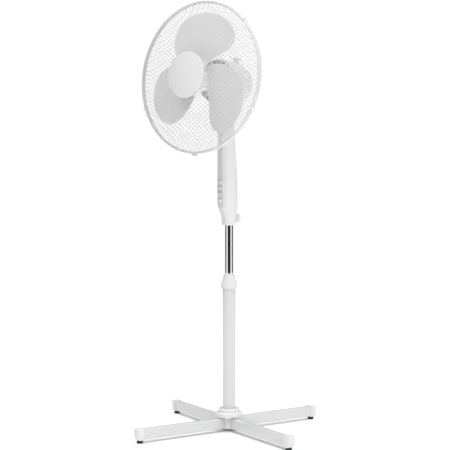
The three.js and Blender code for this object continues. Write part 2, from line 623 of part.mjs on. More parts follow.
// Tilt bracket: a tongue between the ears, a socket for the swivel pin and the link's fixed pin.
const tongueHalf = EAR_INNER - GAP;
const linkTop = -CASE_BOTTOM - 0.5 - CRANK_THICKNESS - GAP;
const linkBottom = linkTop - CRANK_THICKNESS;
const anchorTop = AXIS_RISE + linkBottom - 0.5;
add(tiltHead, 'tilt_bracket', cut(
  join(
    rodX(EAR_RADIUS, -tongueHalf, tongueHalf),
    block([-tongueHalf, tongueHalf], [-9, 9], [0, SWIVEL_SOCKET_BOTTOM + 1]),
    rod(SWIVEL_SOCKET_RADIUS, SWIVEL_SOCKET_BOTTOM, SWIVEL_SOCKET_TOP, 0, 0, 20),
    block([0, ANCHOR_REACH + 3], [-4, 4], [SWIVEL_SOCKET_TOP - 4, SWIVEL_SOCKET_TOP]),
    rod(CRANK_PIN_RADIUS, SWIVEL_SOCKET_TOP - 1, anchorTop, ANCHOR_REACH, 0, 12),
  ),
  rodX(TILT_BOLT_RADIUS + RUN, -tongueHalf - 1, tongueHalf + 1),
  rod(SWIVEL_PIN_RADIUS + RUN, SWIVEL_SOCKET_BOTTOM + 2, SWIVEL_SOCKET_TOP + 1),
), whitePlastic());

add(tiltHead, 'swivel_washer', turned(
  ring(SWIVEL_PIN_RADIUS + RUN, SWIVEL_SOCKET_RADIUS - 2, SWIVEL_SOCKET_TOP + GAP,
    SWIVEL_SOCKET_TOP + GAP + WASHER), 20), blackPlastic());

// ---- head: everything below has the motor axis through its origin, forward is -Y -----------

const head = new THREE.Group();
head.position.z = AXIS_RISE;
head.rotation.z = rad(REST_SWING);
tiltHead.add(head);

// Motor bracket: a plate under the motor with the swivel pin.
const statorRadius = MOTOR_RADIUS - STATOR_MARGIN;
const plateTop = Math.min(linkBottom, -statorRadius) - BRACKET_CLEARANCE;
const plateBottom = plateTop - BRACKET_PLATE;
add(head, 'motor_bracket', join(
  rod(SWIVEL_PIN_RADIUS, SWIVEL_SOCKET_BOTTOM + 2 + GAP - AXIS_RISE, plateBottom + 1),
  block([-9, 9], [-STATOR_BACK + 4, 9], [plateBottom, plateTop]),
  block([-18, 18], [-STATOR_FRONT, -STATOR_BACK + 6], [plateBottom, plateTop]),
), steel());

// Motor covers: two deep cups that meet at a seam, open below round the neck.
const neckOpening = rod(NECK_OPENING, -MOTOR_RADIUS - 10, -MOTOR_RADIUS / 2, 0, 0, 20);
const shellRadius = MOTOR_RADIUS - MOTOR_WALL;
const frontCorner = 7;
const frontCover = turnedForward([
  [shellRadius, MOTOR_SEAM + GAP], [MOTOR_RADIUS, MOTOR_SEAM + GAP],
  [MOTOR_RADIUS, MOTOR_FRONT - frontCorner], [MOTOR_RADIUS - 2, MOTOR_FRONT - 2],
  [MOTOR_RADIUS - frontCorner, MOTOR_FRONT], [BOSS_RADIUS, MOTOR_FRONT],
  [BOSS_RADIUS, MOTOR_FRONT + BOSS_LENGTH], [10, MOTOR_FRONT + BOSS_LENGTH],
  [10, MOTOR_FRONT - MOTOR_WALL], [shellRadius - frontCorner, MOTOR_FRONT - MOTOR_WALL],
  [shellRadius, MOTOR_FRONT - frontCorner], [shellRadius, MOTOR_SEAM + GAP],
], 24);
const ventSlots = Array.from({ length: VENT_COUNT }, (_, i) =>
  block([MOTOR_RADIUS - VENT_DEPTH, MOTOR_RADIUS + 2], [-MOTOR_FRONT - 1, -MOTOR_FRONT + 4],
    [-VENT_WIDTH / 2, VENT_WIDTH / 2]).rotateY(rad(360 * (i + 0.5) / VENT_COUNT)));
add(head, 'motor_front_cover', cut(frontCover, neckOpening, ...ventSlots), whitePlastic());

const rearCurve = new THREE.QuadraticBezierCurve(
  new THREE.Vector2(MOTOR_RADIUS - 3, -16), new THREE.Vector2(MOTOR_RADIUS - 7, -MOTOR_REAR),
  new THREE.Vector2(0, -MOTOR_REAR)).getPoints(5).map(({ x, y }) => [x, y]);
const rearInner = rearCurve.map(([r, s]) =>
  [r * (shellRadius - 3) / (MOTOR_RADIUS - 3), s * (MOTOR_REAR - MOTOR_WALL) / MOTOR_REAR]);
const rearVents = [-1, 0, 1].map((i) =>
  block([-20 + Math.abs(i) * 4, 20 - Math.abs(i) * 4], [MOTOR_REAR - 14, MOTOR_REAR + 2],
    [12 * i - 2, 12 * i + 2]));
add(head, 'motor_rear_cover', cut(
  turnedForward([
    ...rearCurve.slice().reverse(), [MOTOR_RADIUS, MOTOR_SEAM], [shellRadius, MOTOR_SEAM], ...rearInner,
  ], 24),
  neckOpening,
  rod(CLUTCH_STEM_RADIUS + RUN, CASE_TOP, MOTOR_RADIUS, 0, CRANK_BACK, 16),
  ...rearVents,
), whitePlastic());

// Stator with its end windings, the bearing plate behind it and the bush in the front boss.
add(head, 'stator', turnedForward([
  [STATOR_BORE, STATOR_BACK], [STATOR_BORE + 3, STATOR_BACK], [STATOR_BORE + 3, STATOR_BACK - COIL_OUT],
  [statorRadius - 4, STATOR_BACK - COIL_OUT], [statorRadius - 4, STATOR_BACK], [statorRadius, STATOR_BACK],
  [statorRadius, STATOR_FRONT], [statorRadius - 4, STATOR_FRONT],
  [statorRadius - 4, STATOR_FRONT + COIL_OUT], [STATOR_BORE + 3, STATOR_FRONT + COIL_OUT],
  [STATOR_BORE + 3, STATOR_FRONT], [STATOR_BORE, STATOR_FRONT], [STATOR_BORE, STATOR_BACK],
], 20), copper());
const plateFront = STATOR_BACK - COIL_OUT - 3;
add(head, 'rear_bearing_plate', turnedForward(
  ring(SHAFT_RADIUS + RUN, statorRadius - PLATE_MARGIN, plateFront - BEARING_PLATE, plateFront), 24), steel());
add(head, 'front_bush', turnedForward(
  ring(SHAFT_RADIUS + RUN, 10 - GAP, MOTOR_FRONT - 2, MOTOR_FRONT + BOSS_LENGTH - GAP), 20), brass());

// Gear case for the swing drive, open towards the motor.
const caseFront = plateFront - BEARING_PLATE - GAP;
add(head, 'gear_case', cut(
  block([-CASE_HALF_WIDTH, CASE_HALF_WIDTH], [-caseFront, CASE_BACK], [-CASE_BOTTOM, CASE_TOP]),
  block([CASE_WALL - CASE_HALF_WIDTH, CASE_HALF_WIDTH - CASE_WALL], [-caseFront - 1, CASE_BACK - CASE_WALL],
    [CASE_WALL - CASE_BOTTOM, CASE_TOP - CASE_WALL]),
  rod(CLUTCH_STEM_RADIUS + RUN, -CASE_BOTTOM - 1, CASE_TOP + 1, 0, CRANK_BACK, 16),
), blackPlastic());

// Clutch knob: pulled up, it frees the swing drive.
const stemBottom = CASE_TOP - CASE_WALL + 1;
const clutchSeat = MOTOR_RADIUS - 3;
add(head, 'clutch_knob', turned([
  [0, stemBottom], [CLUTCH_STEM_RADIUS, stemBottom], [CLUTCH_STEM_RADIUS, clutchSeat],
  [CLUTCH_KNOB_RADIUS - 4, clutchSeat], [CLUTCH_KNOB_RADIUS - 2.5, clutchSeat + CLUTCH_KNOB_HEIGHT / 2],
  [CLUTCH_KNOB_RADIUS, clutchSeat + CLUTCH_KNOB_HEIGHT - 6],
  [CLUTCH_KNOB_RADIUS - 1, clutchSeat + CLUTCH_KNOB_HEIGHT - 2],
  [CLUTCH_KNOB_RADIUS - 4, clutchSeat + CLUTCH_KNOB_HEIGHT], [0, clutchSeat + CLUTCH_KNOB_HEIGHT],
], 20).translate(0, CRANK_BACK, 0), whitePlastic());

// Swing linkage: the crank and link lengths follow from the anchor pin's arc between the limits.
const crankCentre = new THREE.Vector2(0, CRANK_BACK);
const anchorAt = (swing) => new THREE.Vector2(
  ANCHOR_REACH * Math.cos(rad(swing)), -ANCHOR_REACH * Math.sin(rad(swing)));
const farReach = crankCentre.distanceTo(anchorAt(SWING_LIMIT));
const nearReach = crankCentre.distanceTo(anchorAt(-SWING_LIMIT));
const crankThrow = (farReach - nearReach) / 2;
const linkLength = (farReach + nearReach) / 2;
const anchor = anchorAt(REST_SWING);
const reach = crankCentre.distanceTo(anchor);
const toAnchor = anchor.clone().sub(crankCentre).angle();
const crankOpening = Math.acos((crankThrow ** 2 + reach ** 2 - linkLength ** 2) / (2 * crankThrow * reach));
const crankAngle = toAnchor + crankOpening;
const crankPin = new THREE.Vector2(crankThrow, 0).rotateAround(new THREE.Vector2(), crankAngle)
  .add(crankCentre);
const linkAngle = anchor.clone().sub(crankPin).angle();

// Output crank: a disc under the case, its shaft and gear inside it, and its pin below.
const crankTop = -CASE_BOTTOM - 0.5;
const crankGroup = new THREE.Group();
crankGroup.position.set(crankCentre.x, crankCentre.y, 0);
crankGroup.rotation.z = crankAngle;
head.add(crankGroup);
add(crankGroup, 'output_crank', join(
  rod(crankThrow + 4, crankTop - CRANK_THICKNESS, crankTop, 0, 0, 24),
  rod(CLUTCH_STEM_RADIUS, crankTop - 1, CASE_WALL - CASE_BOTTOM + 7, 0, 0, 16),
  rod(11, CASE_WALL - CASE_BOTTOM + 0.5, CASE_WALL - CASE_BOTTOM + 6, 0, 0, 24),
  rod(CRANK_PIN_RADIUS, linkBottom - 0.2, crankTop - CRANK_THICKNESS + 1, crankThrow, 0, 12),
), blackPlastic());

const linkGroup = new THREE.Group();
linkGroup.position.set(crankPin.x, crankPin.y, 0);
linkGroup.rotation.z = linkAngle;
head.add(linkGroup);
add(linkGroup, 'swing_link', cut(
  join(
    block([0, linkLength], [-LINK_WIDTH / 2, LINK_WIDTH / 2], [linkBottom, linkTop]),
    rod(LINK_WIDTH / 2 + 1, linkBottom, linkTop, 0, 0, 16),
    rod(LINK_WIDTH / 2 + 1, linkBottom, linkTop, linkLength, 0, 16),
  ),
  rod(CRANK_PIN_RADIUS + RUN, linkBottom - 1, linkTop + 1, 0, 0, 12),
), steel());

// Worm gear across the case, under the worm at the tail of the shaft.
const wormGearHeight = -WORM_RADIUS - RUN - WORM_GEAR_RADIUS;
add(head, 'worm_gear', join(
  rodX(WORM_GEAR_RADIUS, -3, 3, CRANK_BACK, wormGearHeight, 20),
  rodX(2, CASE_WALL - CASE_HALF_WIDTH + GAP, CASE_HALF_WIDTH - CASE_WALL - GAP, CRANK_BACK, wormGearHeight, 12),
), brass());

// ---- rotor and blade ---------------------------------------------------------------------

add(head, 'motor_shaft', turnedForward([
  [0, -SHAFT_BACK], [WORM_RADIUS, -SHAFT_BACK], [WORM_RADIUS, -SHAFT_BACK + 24],
  [SHAFT_RADIUS, -SHAFT_BACK + 24], [SHAFT_RADIUS, SHAFT_FRONT], [0, SHAFT_FRONT],
], 20), steel());
add(head, 'rotor_core', turnedForward(
  ring(SHAFT_RADIUS + GAP, STATOR_BORE - AIR_GAP, STATOR_BACK, STATOR_FRONT), 28), steel());

// One paddle, as sections across it from the hub out. Its angular half width falls as the square
// root of one minus the cube of the way from the swell to the tip, its centre line sweeps back,
// and it rises forward with the angle across it.
const bladeTip = GUARD_RADIUS - TIP_CLEARANCE;
const bladeMiddle = RIM_SEAM - BLADE_BACK;
function paddle(turn) {
  const rows = 7;
  const columns = 6;
  const rootWay = (BLADE_HUB_RADIUS - 3 - BLADE_SWELL) / (bladeTip - BLADE_SWELL);
  const sections = [];
  for (let i = 0; i < rows; i += 1) {
    const way = THREE.MathUtils.lerp(rootWay, 0.987, Math.sin((Math.PI / 2) * i / (rows - 1)));
    const radius = THREE.MathUtils.lerp(BLADE_SWELL, bladeTip, way);
    const centre = rad(PADDLE_ANGLE + PADDLE_SWEEP * (1 - way) ** 2);
    const halfWidth = rad(PADDLE_HALF_ANGLE) * Math.sqrt(1 - Math.max(way, 0) ** 3);
    const row = (side) => Array.from({ length: columns + 1 }, (_, j) => {
      const angle = centre + halfWidth * (2 * j / columns - 1);
      const forward = bladeMiddle
        + BLADE_TWIST * (angle - rad(PADDLE_ANGLE + 2)) * Math.sqrt(radius / TWIST_RADIUS)
        + side * BLADE_THICKNESS / 2;
      return [radius * Math.cos(angle + turn), -forward, radius * Math.sin(angle + turn)];
    });
    sections.push([...row(-1), ...row(1).reverse()]);
  }
  return loft(sections);
}

const bladeHub = turnedForward([
  [SHAFT_RADIUS + GAP, BLADE_HUB_BACK + 6], [BLADE_HUB_RADIUS - 4, BLADE_HUB_BACK + 6],
  [BLADE_HUB_RADIUS - 2.5, BLADE_HUB_BACK], [BLADE_HUB_RADIUS, BLADE_HUB_BACK],
  [BLADE_HUB_RADIUS, BLADE_HUB_FRONT - 12], [BLADE_HUB_RADIUS - 4, BLADE_HUB_FRONT - 4],
  [BLADE_HUB_RADIUS - 12, BLADE_HUB_FRONT], [SHAFT_RADIUS + GAP, BLADE_HUB_FRONT],
  [SHAFT_RADIUS + GAP, BLADE_HUB_BACK + 6],
], 24);
const paddles = Array.from({ length: BLADE_COUNT }, (_, i) => paddle(2 * Math.PI * i / BLADE_COUNT));
add(head, 'fan_blade', join(bladeHub, ...paddles), greyPlastic());

// Spinner nut, threaded on the shaft's end.
const spinnerBack = BLADE_HUB_FRONT + GAP;
add(head, 'spinner_nut', turnedForward([
  [SHAFT_RADIUS + GAP, spinnerBack], [SPINNER_RADIUS, spinnerBack],
  [SPINNER_RADIUS, spinnerBack + SPINNER_LENGTH - 4], [SPINNER_RADIUS - 4, spinnerBack + SPINNER_LENGTH],
  [0, spinnerBack + SPINNER_LENGTH], [0, SHAFT_FRONT + GAP], [SHAFT_RADIUS + GAP, SHAFT_FRONT + GAP],
  [SHAFT_RADIUS + GAP, spinnerBack],
], 20), greyPlastic());

// ---- guards ------------------------------------------------------------------------------

const rimRadius = GUARD_RADIUS - BAND_WALL - GAP;
const lipInner = rimRadius - 3.5;
const domeRadius = lipInner - GAP;

// How far a guard's surface stands off the rim at a radius: a quarter ellipse.
const domeAt = (radius, height) => height * Math.sqrt(Math.max(1 - (radius / domeRadius) ** 2, 0));

// A guard: ribs over the dome, a rim ring, a middle ring and a centre plate, drawn with the dome's
// height along +Y from the seam.
function guard(height, plateInner, plateRadius, plateLow, plateHigh) {
  const edge = RIM_RING + GAP / 2;
  const steps = 4;
  const radii = Array.from({ length: steps + 1 }, (_, i) =>
    domeRadius * Math.sin(THREE.MathUtils.lerp(Math.asin((plateRadius - 4) / domeRadius),
      Math.PI / 2, i / steps)));
  const outer = radii.map((r) => new THREE.Vector2(r, edge - RIM_RING / 2 + domeAt(r, height)));
  const inner = radii.map((r) => new THREE.Vector2(
    Math.max(r - RIB_SIZE * (r / rimRadius) ** 2, 0),
    edge - RIM_RING / 2 - RIB_SIZE * (1 - (r / rimRadius) ** 4) + domeAt(r, height)));
  const rib = new THREE.ExtrudeGeometry(new THREE.Shape([...outer, ...inner.reverse()]),
    { depth: RIB_SIZE, bevelEnabled: false }).translate(0, 0, -RIB_SIZE / 2);
  const ribs = Array.from({ length: RIB_COUNT }, (_, i) =>
    rib.clone().rotateY(rad((i + 0.5) * 360 / RIB_COUNT)));
  const middle = (plateRadius + rimRadius) / 2 + 10;
  const middleHeight = edge - RIM_RING / 2 + domeAt(middle, height);
  return join(
    turnedY(ring(rimRadius - RIM_DEPTH, rimRadius, GAP / 2, edge), 36),
    turnedY(ring(middle - RIB_SIZE / 2, middle + RIB_SIZE / 2, middleHeight - RIB_SIZE, middleHeight), 24),
    turnedY(plateInner > 0 ? ring(plateInner, plateRadius, plateLow, plateHigh)
      : [[0, plateLow], [plateRadius, plateLow], [plateRadius, plateHigh], [0, plateHigh]], 24),
    ...ribs,
  );
}

const frontPlateTop = domeAt(FRONT_PLATE_RADIUS, FRONT_DOME) + RIM_RING / 2 + 0.4;
const frontGuard = guard(FRONT_DOME, 0, FRONT_PLATE_RADIUS, frontPlateTop - RIB_SIZE, frontPlateTop);
add(head, 'front_guard', frontGuard.rotateX(Math.PI).translate(0, -RIM_SEAM, 0), whitePaint());

const rearDome = RIM_SEAM - MOTOR_FRONT - REAR_DOME_FOOT;
const rearPlateOuter = RIM_SEAM - MOTOR_FRONT - GAP;
const rearPlateInner = Math.min(rearPlateOuter - RIB_SIZE,
  domeAt(REAR_PLATE_RADIUS, rearDome) + (RIM_RING - RIB_SIZE) / 2);
const rearGuard = guard(rearDome, BOSS_RADIUS + GAP, REAR_PLATE_RADIUS, rearPlateInner, rearPlateOuter);
add(head, 'rear_guard', rearGuard.translate(0, -RIM_SEAM, 0), whitePaint());

// Ring nut that holds the rear guard on the motor's boss.
const guardNutBack = RIM_SEAM - rearPlateInner + GAP;
add(head, 'guard_nut', turnedForward([
  [BOSS_RADIUS + GAP, guardNutBack], [30, guardNutBack], [30, guardNutBack + 4], [26, guardNutBack + 7],
  [BOSS_RADIUS + GAP, guardNutBack + 7], [BOSS_RADIUS + GAP, guardNutBack],
], 24), whitePlastic());

// Hub cap: a low domed disc in front of the front guard's plate.
const capBack = RIM_SEAM + frontPlateTop + 0.8;
const hubCapFront = Array.from({ length: 5 }, (_, i) => {
  const r = HUB_CAP_RADIUS * Math.cos((Math.PI / 2) * i / 4);
  return [r, capBack + HUB_CAP_RISE - (HUB_CAP_RISE - 3) * (r / HUB_CAP_RADIUS) ** 2];
});
hubCapFront[4][0] = 0;
add(head, 'hub_cap', turnedForward([[0, capBack], [HUB_CAP_RADIUS, capBack], ...hubCapFront], 32),
  whitePlastic());

// Rim band: a channel round both rim rings, open at the bottom between two lugs.
const bandHalf = RIM_RING + GAP / 2 + GAP + 1.2;
const lugOuter = GUARD_RADIUS + LUG_REACH;
const lug = (side) => block(side > 0 ? [1.5, 6] : [-6, -1.5], [-RIM_SEAM - 4, -RIM_SEAM + 4],
  [-lugOuter, -GUARD_RADIUS + 0.8]);
const band = turnedForward([
  [lipInner, RIM_SEAM - bandHalf], [GUARD_RADIUS, RIM_SEAM - bandHalf], [GUARD_RADIUS, RIM_SEAM + bandHalf],
  [lipInner, RIM_SEAM + bandHalf], [lipInner, RIM_SEAM + bandHalf - 1.2],
  [rimRadius + GAP, RIM_SEAM + bandHalf - 1.2], [rimRadius + GAP, RIM_SEAM - bandHalf + 1.2],
  [lipInner, RIM_SEAM - bandHalf + 1.2], [lipInner, RIM_SEAM - bandHalf],
], 36);
const screwHeight = -(GUARD_RADIUS + lugOuter) / 2;
add(head, 'guard_band', cut(
  join(band, lug(1), lug(-1)),
  block([-1.5, 1.5], [-RIM_SEAM - 20, -RIM_SEAM + 20], [-lugOuter - 1, -lipInner + 6]),
  rodX(LUG_SCREW_RADIUS + GAP, -8, 8, -RIM_SEAM, screwHeight, 12),
), whitePaint());
add(head, 'band_screw', join(
  rodX(LUG_SCREW_RADIUS, -9, 9, -RIM_SEAM, screwHeight, 12),
  rodX(2 * LUG_SCREW_RADIUS, -8.5, -6.3, -RIM_SEAM, screwHeight, 12),
), steel());

// Clips over the band.
CLIP_ANGLES.forEach((angle, i) => {
  const [inner, outer] = [GUARD_RADIUS - 4, GUARD_RADIUS + GAP + CLIP_WALL];
  const across = [-CLIP_WIDTH / 2, CLIP_WIDTH / 2];
  const half = bandHalf + GAP;
  const clip = cut(
    block([inner, outer], [-RIM_SEAM - half - CLIP_WALL, -RIM_SEAM + half + CLIP_WALL], across),
    block([inner - 1, GUARD_RADIUS + GAP], [-RIM_SEAM - half, -RIM_SEAM + half], [-CLIP_WIDTH, CLIP_WIDTH]),
  );
  add(head, `guard_clip_${i + 1}`, clip.rotateY(-rad(angle)), whitePlastic());
});

export default fan;
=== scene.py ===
import json
import math

import bmesh
import bpy
import numpy as np
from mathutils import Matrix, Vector


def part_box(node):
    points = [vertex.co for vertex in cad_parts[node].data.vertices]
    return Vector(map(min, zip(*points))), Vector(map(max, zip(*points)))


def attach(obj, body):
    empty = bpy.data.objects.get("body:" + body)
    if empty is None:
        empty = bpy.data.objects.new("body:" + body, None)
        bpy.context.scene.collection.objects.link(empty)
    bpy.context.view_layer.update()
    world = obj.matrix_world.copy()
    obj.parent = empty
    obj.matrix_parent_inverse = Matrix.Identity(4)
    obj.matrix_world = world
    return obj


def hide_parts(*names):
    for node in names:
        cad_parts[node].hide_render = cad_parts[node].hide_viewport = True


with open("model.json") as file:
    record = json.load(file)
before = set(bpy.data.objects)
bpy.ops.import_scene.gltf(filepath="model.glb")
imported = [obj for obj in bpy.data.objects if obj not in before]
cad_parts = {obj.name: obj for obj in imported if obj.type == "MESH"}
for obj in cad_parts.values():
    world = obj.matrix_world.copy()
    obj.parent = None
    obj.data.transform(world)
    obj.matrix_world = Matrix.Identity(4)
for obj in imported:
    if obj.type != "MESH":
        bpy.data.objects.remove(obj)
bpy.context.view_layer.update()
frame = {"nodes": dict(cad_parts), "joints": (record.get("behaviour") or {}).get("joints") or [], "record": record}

# Studio: a camera at chest height in front and to the fan's left, a pale floor under a white
# surround, a large soft box on the camera's right, one on its left and a wide soft sun overhead.
CAMERA_AZIMUTH = math.radians(56.85)
CAMERA_DISTANCE = 3.635
CAMERA_HEIGHT = 0.803
CAMERA_DIP = math.radians(2.93)
camera = bpy.data.objects.new("Camera", bpy.data.cameras.new("Camera"))
camera.data.lens = 97.87
camera.data.shift_x = -0.0091
camera.data.clip_end = 200
camera.location = (CAMERA_DISTANCE * math.sin(CAMERA_AZIMUTH),
                   -CAMERA_DISTANCE * math.cos(CAMERA_AZIMUTH), CAMERA_HEIGHT)
camera.rotation_euler = (math.pi / 2 - CAMERA_DIP, 0, CAMERA_AZIMUTH)
bpy.context.scene.collection.objects.link(camera)
bpy.context.scene.camera = camera
bpy.context.scene.view_settings.view_transform = "Standard"


FAN_MIDDLE = Vector((0, 0, 0.7))


def soft_box(name, azimuth, elevation, distance, size, power):
    """A square light at a distance along the direction given by azimuth and elevation, facing the fan."""
    light = bpy.data.objects.new(name, bpy.data.lights.new(name, "AREA"))
    light.data.size, light.data.energy = size, power
    a, e = math.radians(azimuth), math.radians(elevation)
    away = Vector((math.sin(a) * math.cos(e), -math.cos(a) * math.cos(e), math.sin(e)))
    light.location = FAN_MIDDLE + away * distance
    light.rotation_euler = away.to_track_quat("Z", "Y").to_euler()
    bpy.context.scene.collection.objects.link(light)


soft_box("KeyLight", azimuth=80, elevation=36, distance=4.5, size=2.4, power=36)
soft_box("FillLight", azimuth=30, elevation=44, distance=5.0, size=2.6, power=40)
overhead = bpy.data.objects.new("OverheadLight", bpy.data.lights.new("OverheadLight", "SUN"))
overhead.data.energy, overhead.data.angle = 2.5, math.radians(70)
bpy.context.scene.collection.objects.link(overhead)


class Reading:
    """A number read off a surface; a sum or product of it adds a Math node."""

    def __init__(self, finish, socket):
        self.finish, self.socket = finish, socket

    def combine(self, operation, first, second):
        return self.finish.node("Math", {"operation": operation}, {0: first, 1: second})

    def __add__(self, other):
        return self.combine("ADD", self, other)

    def __mul__(self, other):
        return self.combine("MULTIPLY", self, other)

    __radd__, __rmul__ = __add__, __mul__


class Finish:
    """A procedural finish on a Principled surface, for one of the record's material slots."""

    def __init__(self, name, slot, **constants):
        self.slot = slot
        self.material = bpy.data.materials.new(name)
        self.material.use_nodes = True
        self.nodes = self.material.node_tree.nodes
        self.surface = self.nodes["Principled BSDF"]
        for socket, value in constants.items():
            self.surface.inputs[socket.replace("_", " ")].default_value = value
        self.place = self.node("TexCoord", out="Object")

    def node(self, kind, settings=None, sockets=None, out=0):
        made = self.nodes.new("ShaderNode" + kind)
        for key, value in (settings or {}).items():
            setattr(made, key, value)
        for key, value in (sockets or {}).items():
            self.wire(made.inputs[key], value)
        return Reading(self, made.outputs[out])

    def wire(self, socket, value):
        if isinstance(value, Reading):
            self.material.node_tree.links.new(value.socket, socket)
        else:
            socket.default_value = value

    def noise(self, scale, detail=2.0, place=None):
        return self.node("TexNoise", None, {"Vector": place or self.place, "Scale": scale, "Detail": detail})

    def stretched(self, along):
        """The place on the piece, with each axis multiplied, for marks that run one way."""
        return self.node("VectorMath", {"operation": "MULTIPLY"}, {0: self.place, 1: along})

    def shade(self, amount, low, high):
        """A colour between two, by a reading from 0 to 1."""
        return self.node("Mix", {"data_type": "RGBA"}, {0: amount, 6: (*low, 1), 7: (*high, 1)}, 2)

    def set(self, **values):
        for socket, value in values.items():
            self.wire(self.surface.inputs[socket.replace("_", " ")], value)

    def relief(self, height, depth, strength=1.0):
        """Surface relief from a height reading, its full depth in metres."""
        self.set(Normal=self.node("Bump", None, {"Height": height, "Distance": depth, "Strength": strength}))


backdrop = Finish("StudioFloor", None, Roughness=0.9)
backdrop.set(Base_Color=backdrop.shade(backdrop.noise(0.6), (0.93, 0.93, 0.93), (0.96, 0.96, 0.96)))
FLOOR_HALF = 40
floor_mesh = bpy.data.meshes.new("StudioFloor")
floor_mesh.from_pydata([(-FLOOR_HALF, -FLOOR_HALF, 0), (FLOOR_HALF, -FLOOR_HALF, 0),
                        (FLOOR_HALF, FLOOR_HALF, 0), (-FLOOR_HALF, FLOOR_HALF, 0)], [], [(0, 1, 2, 3)])
floor_mesh.materials.append(backdrop.material)
floor = bpy.data.objects.new("StudioFloor", floor_mesh)
bpy.context.scene.collection.objects.link(floor)

# The surround is white near the horizon and dimmer overhead.
HORIZON_GLOW, SKY_GLOW = 1.05, 0.36
world = bpy.data.worlds.new("Surround")
world.use_nodes = True
bpy.context.scene.world = world
sky = world.node_tree.nodes
direction = sky.new("ShaderNodeTexCoord")
height = sky.new("ShaderNodeSeparateXYZ")
band = sky.new("ShaderNodeMapRange")
for socket, value in {"From Min": 0.14, "From Max": 0.2, "To Min": HORIZON_GLOW, "To Max": SKY_GLOW}.items():
    band.inputs[socket].default_value = value
world.node_tree.links.new(direction.outputs["Generated"], height.inputs[0])
world.node_tree.links.new(height.outputs["Z"], band.inputs["Value"])
world.node_tree.links.new(band.outputs[0], sky["Background"].inputs["Strength"])
sky["Background"].inputs["Color"].default_value = (1, 1, 1, 1)

# Dark flags stand round the set, out of the view. Four are only there for the polished pole to
# mirror; the one on the camera's left only holds back the light that the floor and surround throw on.
FLAG_PANELS, FLAG_FOOT = 8, 0.01
POLE_FLAG_DISTANCE, POLE_FLAG_HEIGHT = 4.3, 3.0
flag_finish = Finish("DarkFlag", None, Base_Color=(0.01, 0.01, 0.01, 1))
flag_finish.set(Roughness=0.9 + 0.1 * flag_finish.noise(3))


def dark_flag(name, turn, half_turn, distance, tall, mirrored):
    """A dark screen on an arc round the fan, its middle turned from the camera's direction, degrees."""
    around = CAMERA_AZIMUTH + np.radians(turn + half_turn * np.linspace(-1, 1, FLAG_PANELS + 1))
    foot_line = np.stack([distance * np.sin(around), -distance * np.cos(around),
                          FLAG_FOOT + 0 * around], 1)
    corners = np.concatenate([foot_line, foot_line + [0, 0, tall]])
    flag_mesh = bpy.data.meshes.new(name)
    flag_mesh.from_pydata(corners.tolist(), [], [(k, k + 1, k + FLAG_PANELS + 2, k + FLAG_PANELS + 1)
                                                 for k in range(FLAG_PANELS)])
    flag_mesh.materials.append(flag_finish.material)
    flag = bpy.data.objects.new(name, flag_mesh)
    flag.visible_camera = flag.visible_shadow = False
    flag.visible_diffuse, flag.visible_glossy = not mirrored, mirrored
    bpy.context.scene.collection.objects.link(flag)


dark_flag("FrontFlag", 0, 38, 3.8, POLE_FLAG_HEIGHT, True)
dark_flag("RightFlag", 108, 22, POLE_FLAG_DISTANCE, POLE_FLAG_HEIGHT, True)
dark_flag("LeftFlag", -108, 22, POLE_FLAG_DISTANCE, POLE_FLAG_HEIGHT, True)
dark_flag("BackFlag", 180, 30, POLE_FLAG_DISTANCE, POLE_FLAG_HEIGHT, True)
dark_flag("ShadeFlag", -92, 38, 2.2, 1.5, False)

# Feet: black rubber pads, moulded in one with a stem that is pushed up into the leg.
# Each has a soft lower edge, and the rubber is dusty and faintly grained.
SIDES = 96
MM = 0.001


def extent(node):
    """The lowest and highest corner of a node, in millimetres."""
    return [np.array(corner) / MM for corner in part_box(node)]


def filleted(corners, steps=5):
    """A polyline whose corners (x, y, fillet) are arcs tangent to both sides: the centre lies on the
    bisector, fillet / sin(half angle) from the corner. An open line's ends have no fillet."""
    line = np.array([c[:2] for c in corners], float)
    points = []
    for k, (x, y, fillet) in enumerate(corners):
        here = line[k]
        before, after = line[k - 1] - here, line[(k + 1) % len(line)] - here
        before, after = before / max(np.hypot(*before), 1e-9), after / max(np.hypot(*after), 1e-9)
        half = math.acos(np.clip(before @ after, -1, 1)) / 2
        if fillet <= 0 or half > 1.56 or half < 0.01:
            points.append(here[None])
            continue
        centre = here + (before + after) / np.hypot(*(before + after)) * fillet / math.sin(half)
        start, end = (here + way * fillet / math.tan(half) - centre for way in (before, after))
        sweep, t = math.pi - 2 * half, np.linspace(0, 1, steps + 1)[:, None]
        points.append(centre + (np.sin((1 - t) * sweep) * start + np.sin(t * sweep) * end) / math.sin(sweep))
    return np.concatenate(points)


class Place:
    """Where a piece is built: an origin and three directions, millimetres."""

    def __init__(self, origin, x, y, z):
        self.origin, self.axes = np.array(origin, float), np.array([x, y, z], float)

    def __call__(self, x, y, z):
        x, y, z = np.broadcast_arrays(x, y, z)
        return self.origin + np.stack([x, y, z], -1) @ self.axes


COLUMN = Place((0, 0, 0), (1, 0, 0), (0, 1, 0), (0, 0, 1))


def turned(profile, place=COLUMN, sides=SIDES, closed=False, reach=None):
    """A turned skin: each profile point (r, h) goes round as (r cos a, r sin a, h). The reach, if given,
    adds to the radius by row and angle. An open profile starts and ends on the axis."""
    profile = np.array(profile, float)
    angle = np.linspace(0, 2 * math.pi, sides, endpoint=False)
    radius = profile[:, :1] + (0 if reach is None else reach(profile, angle))
    return place(radius * np.cos(angle), radius * np.sin(angle), profile[:, 1:]), closed


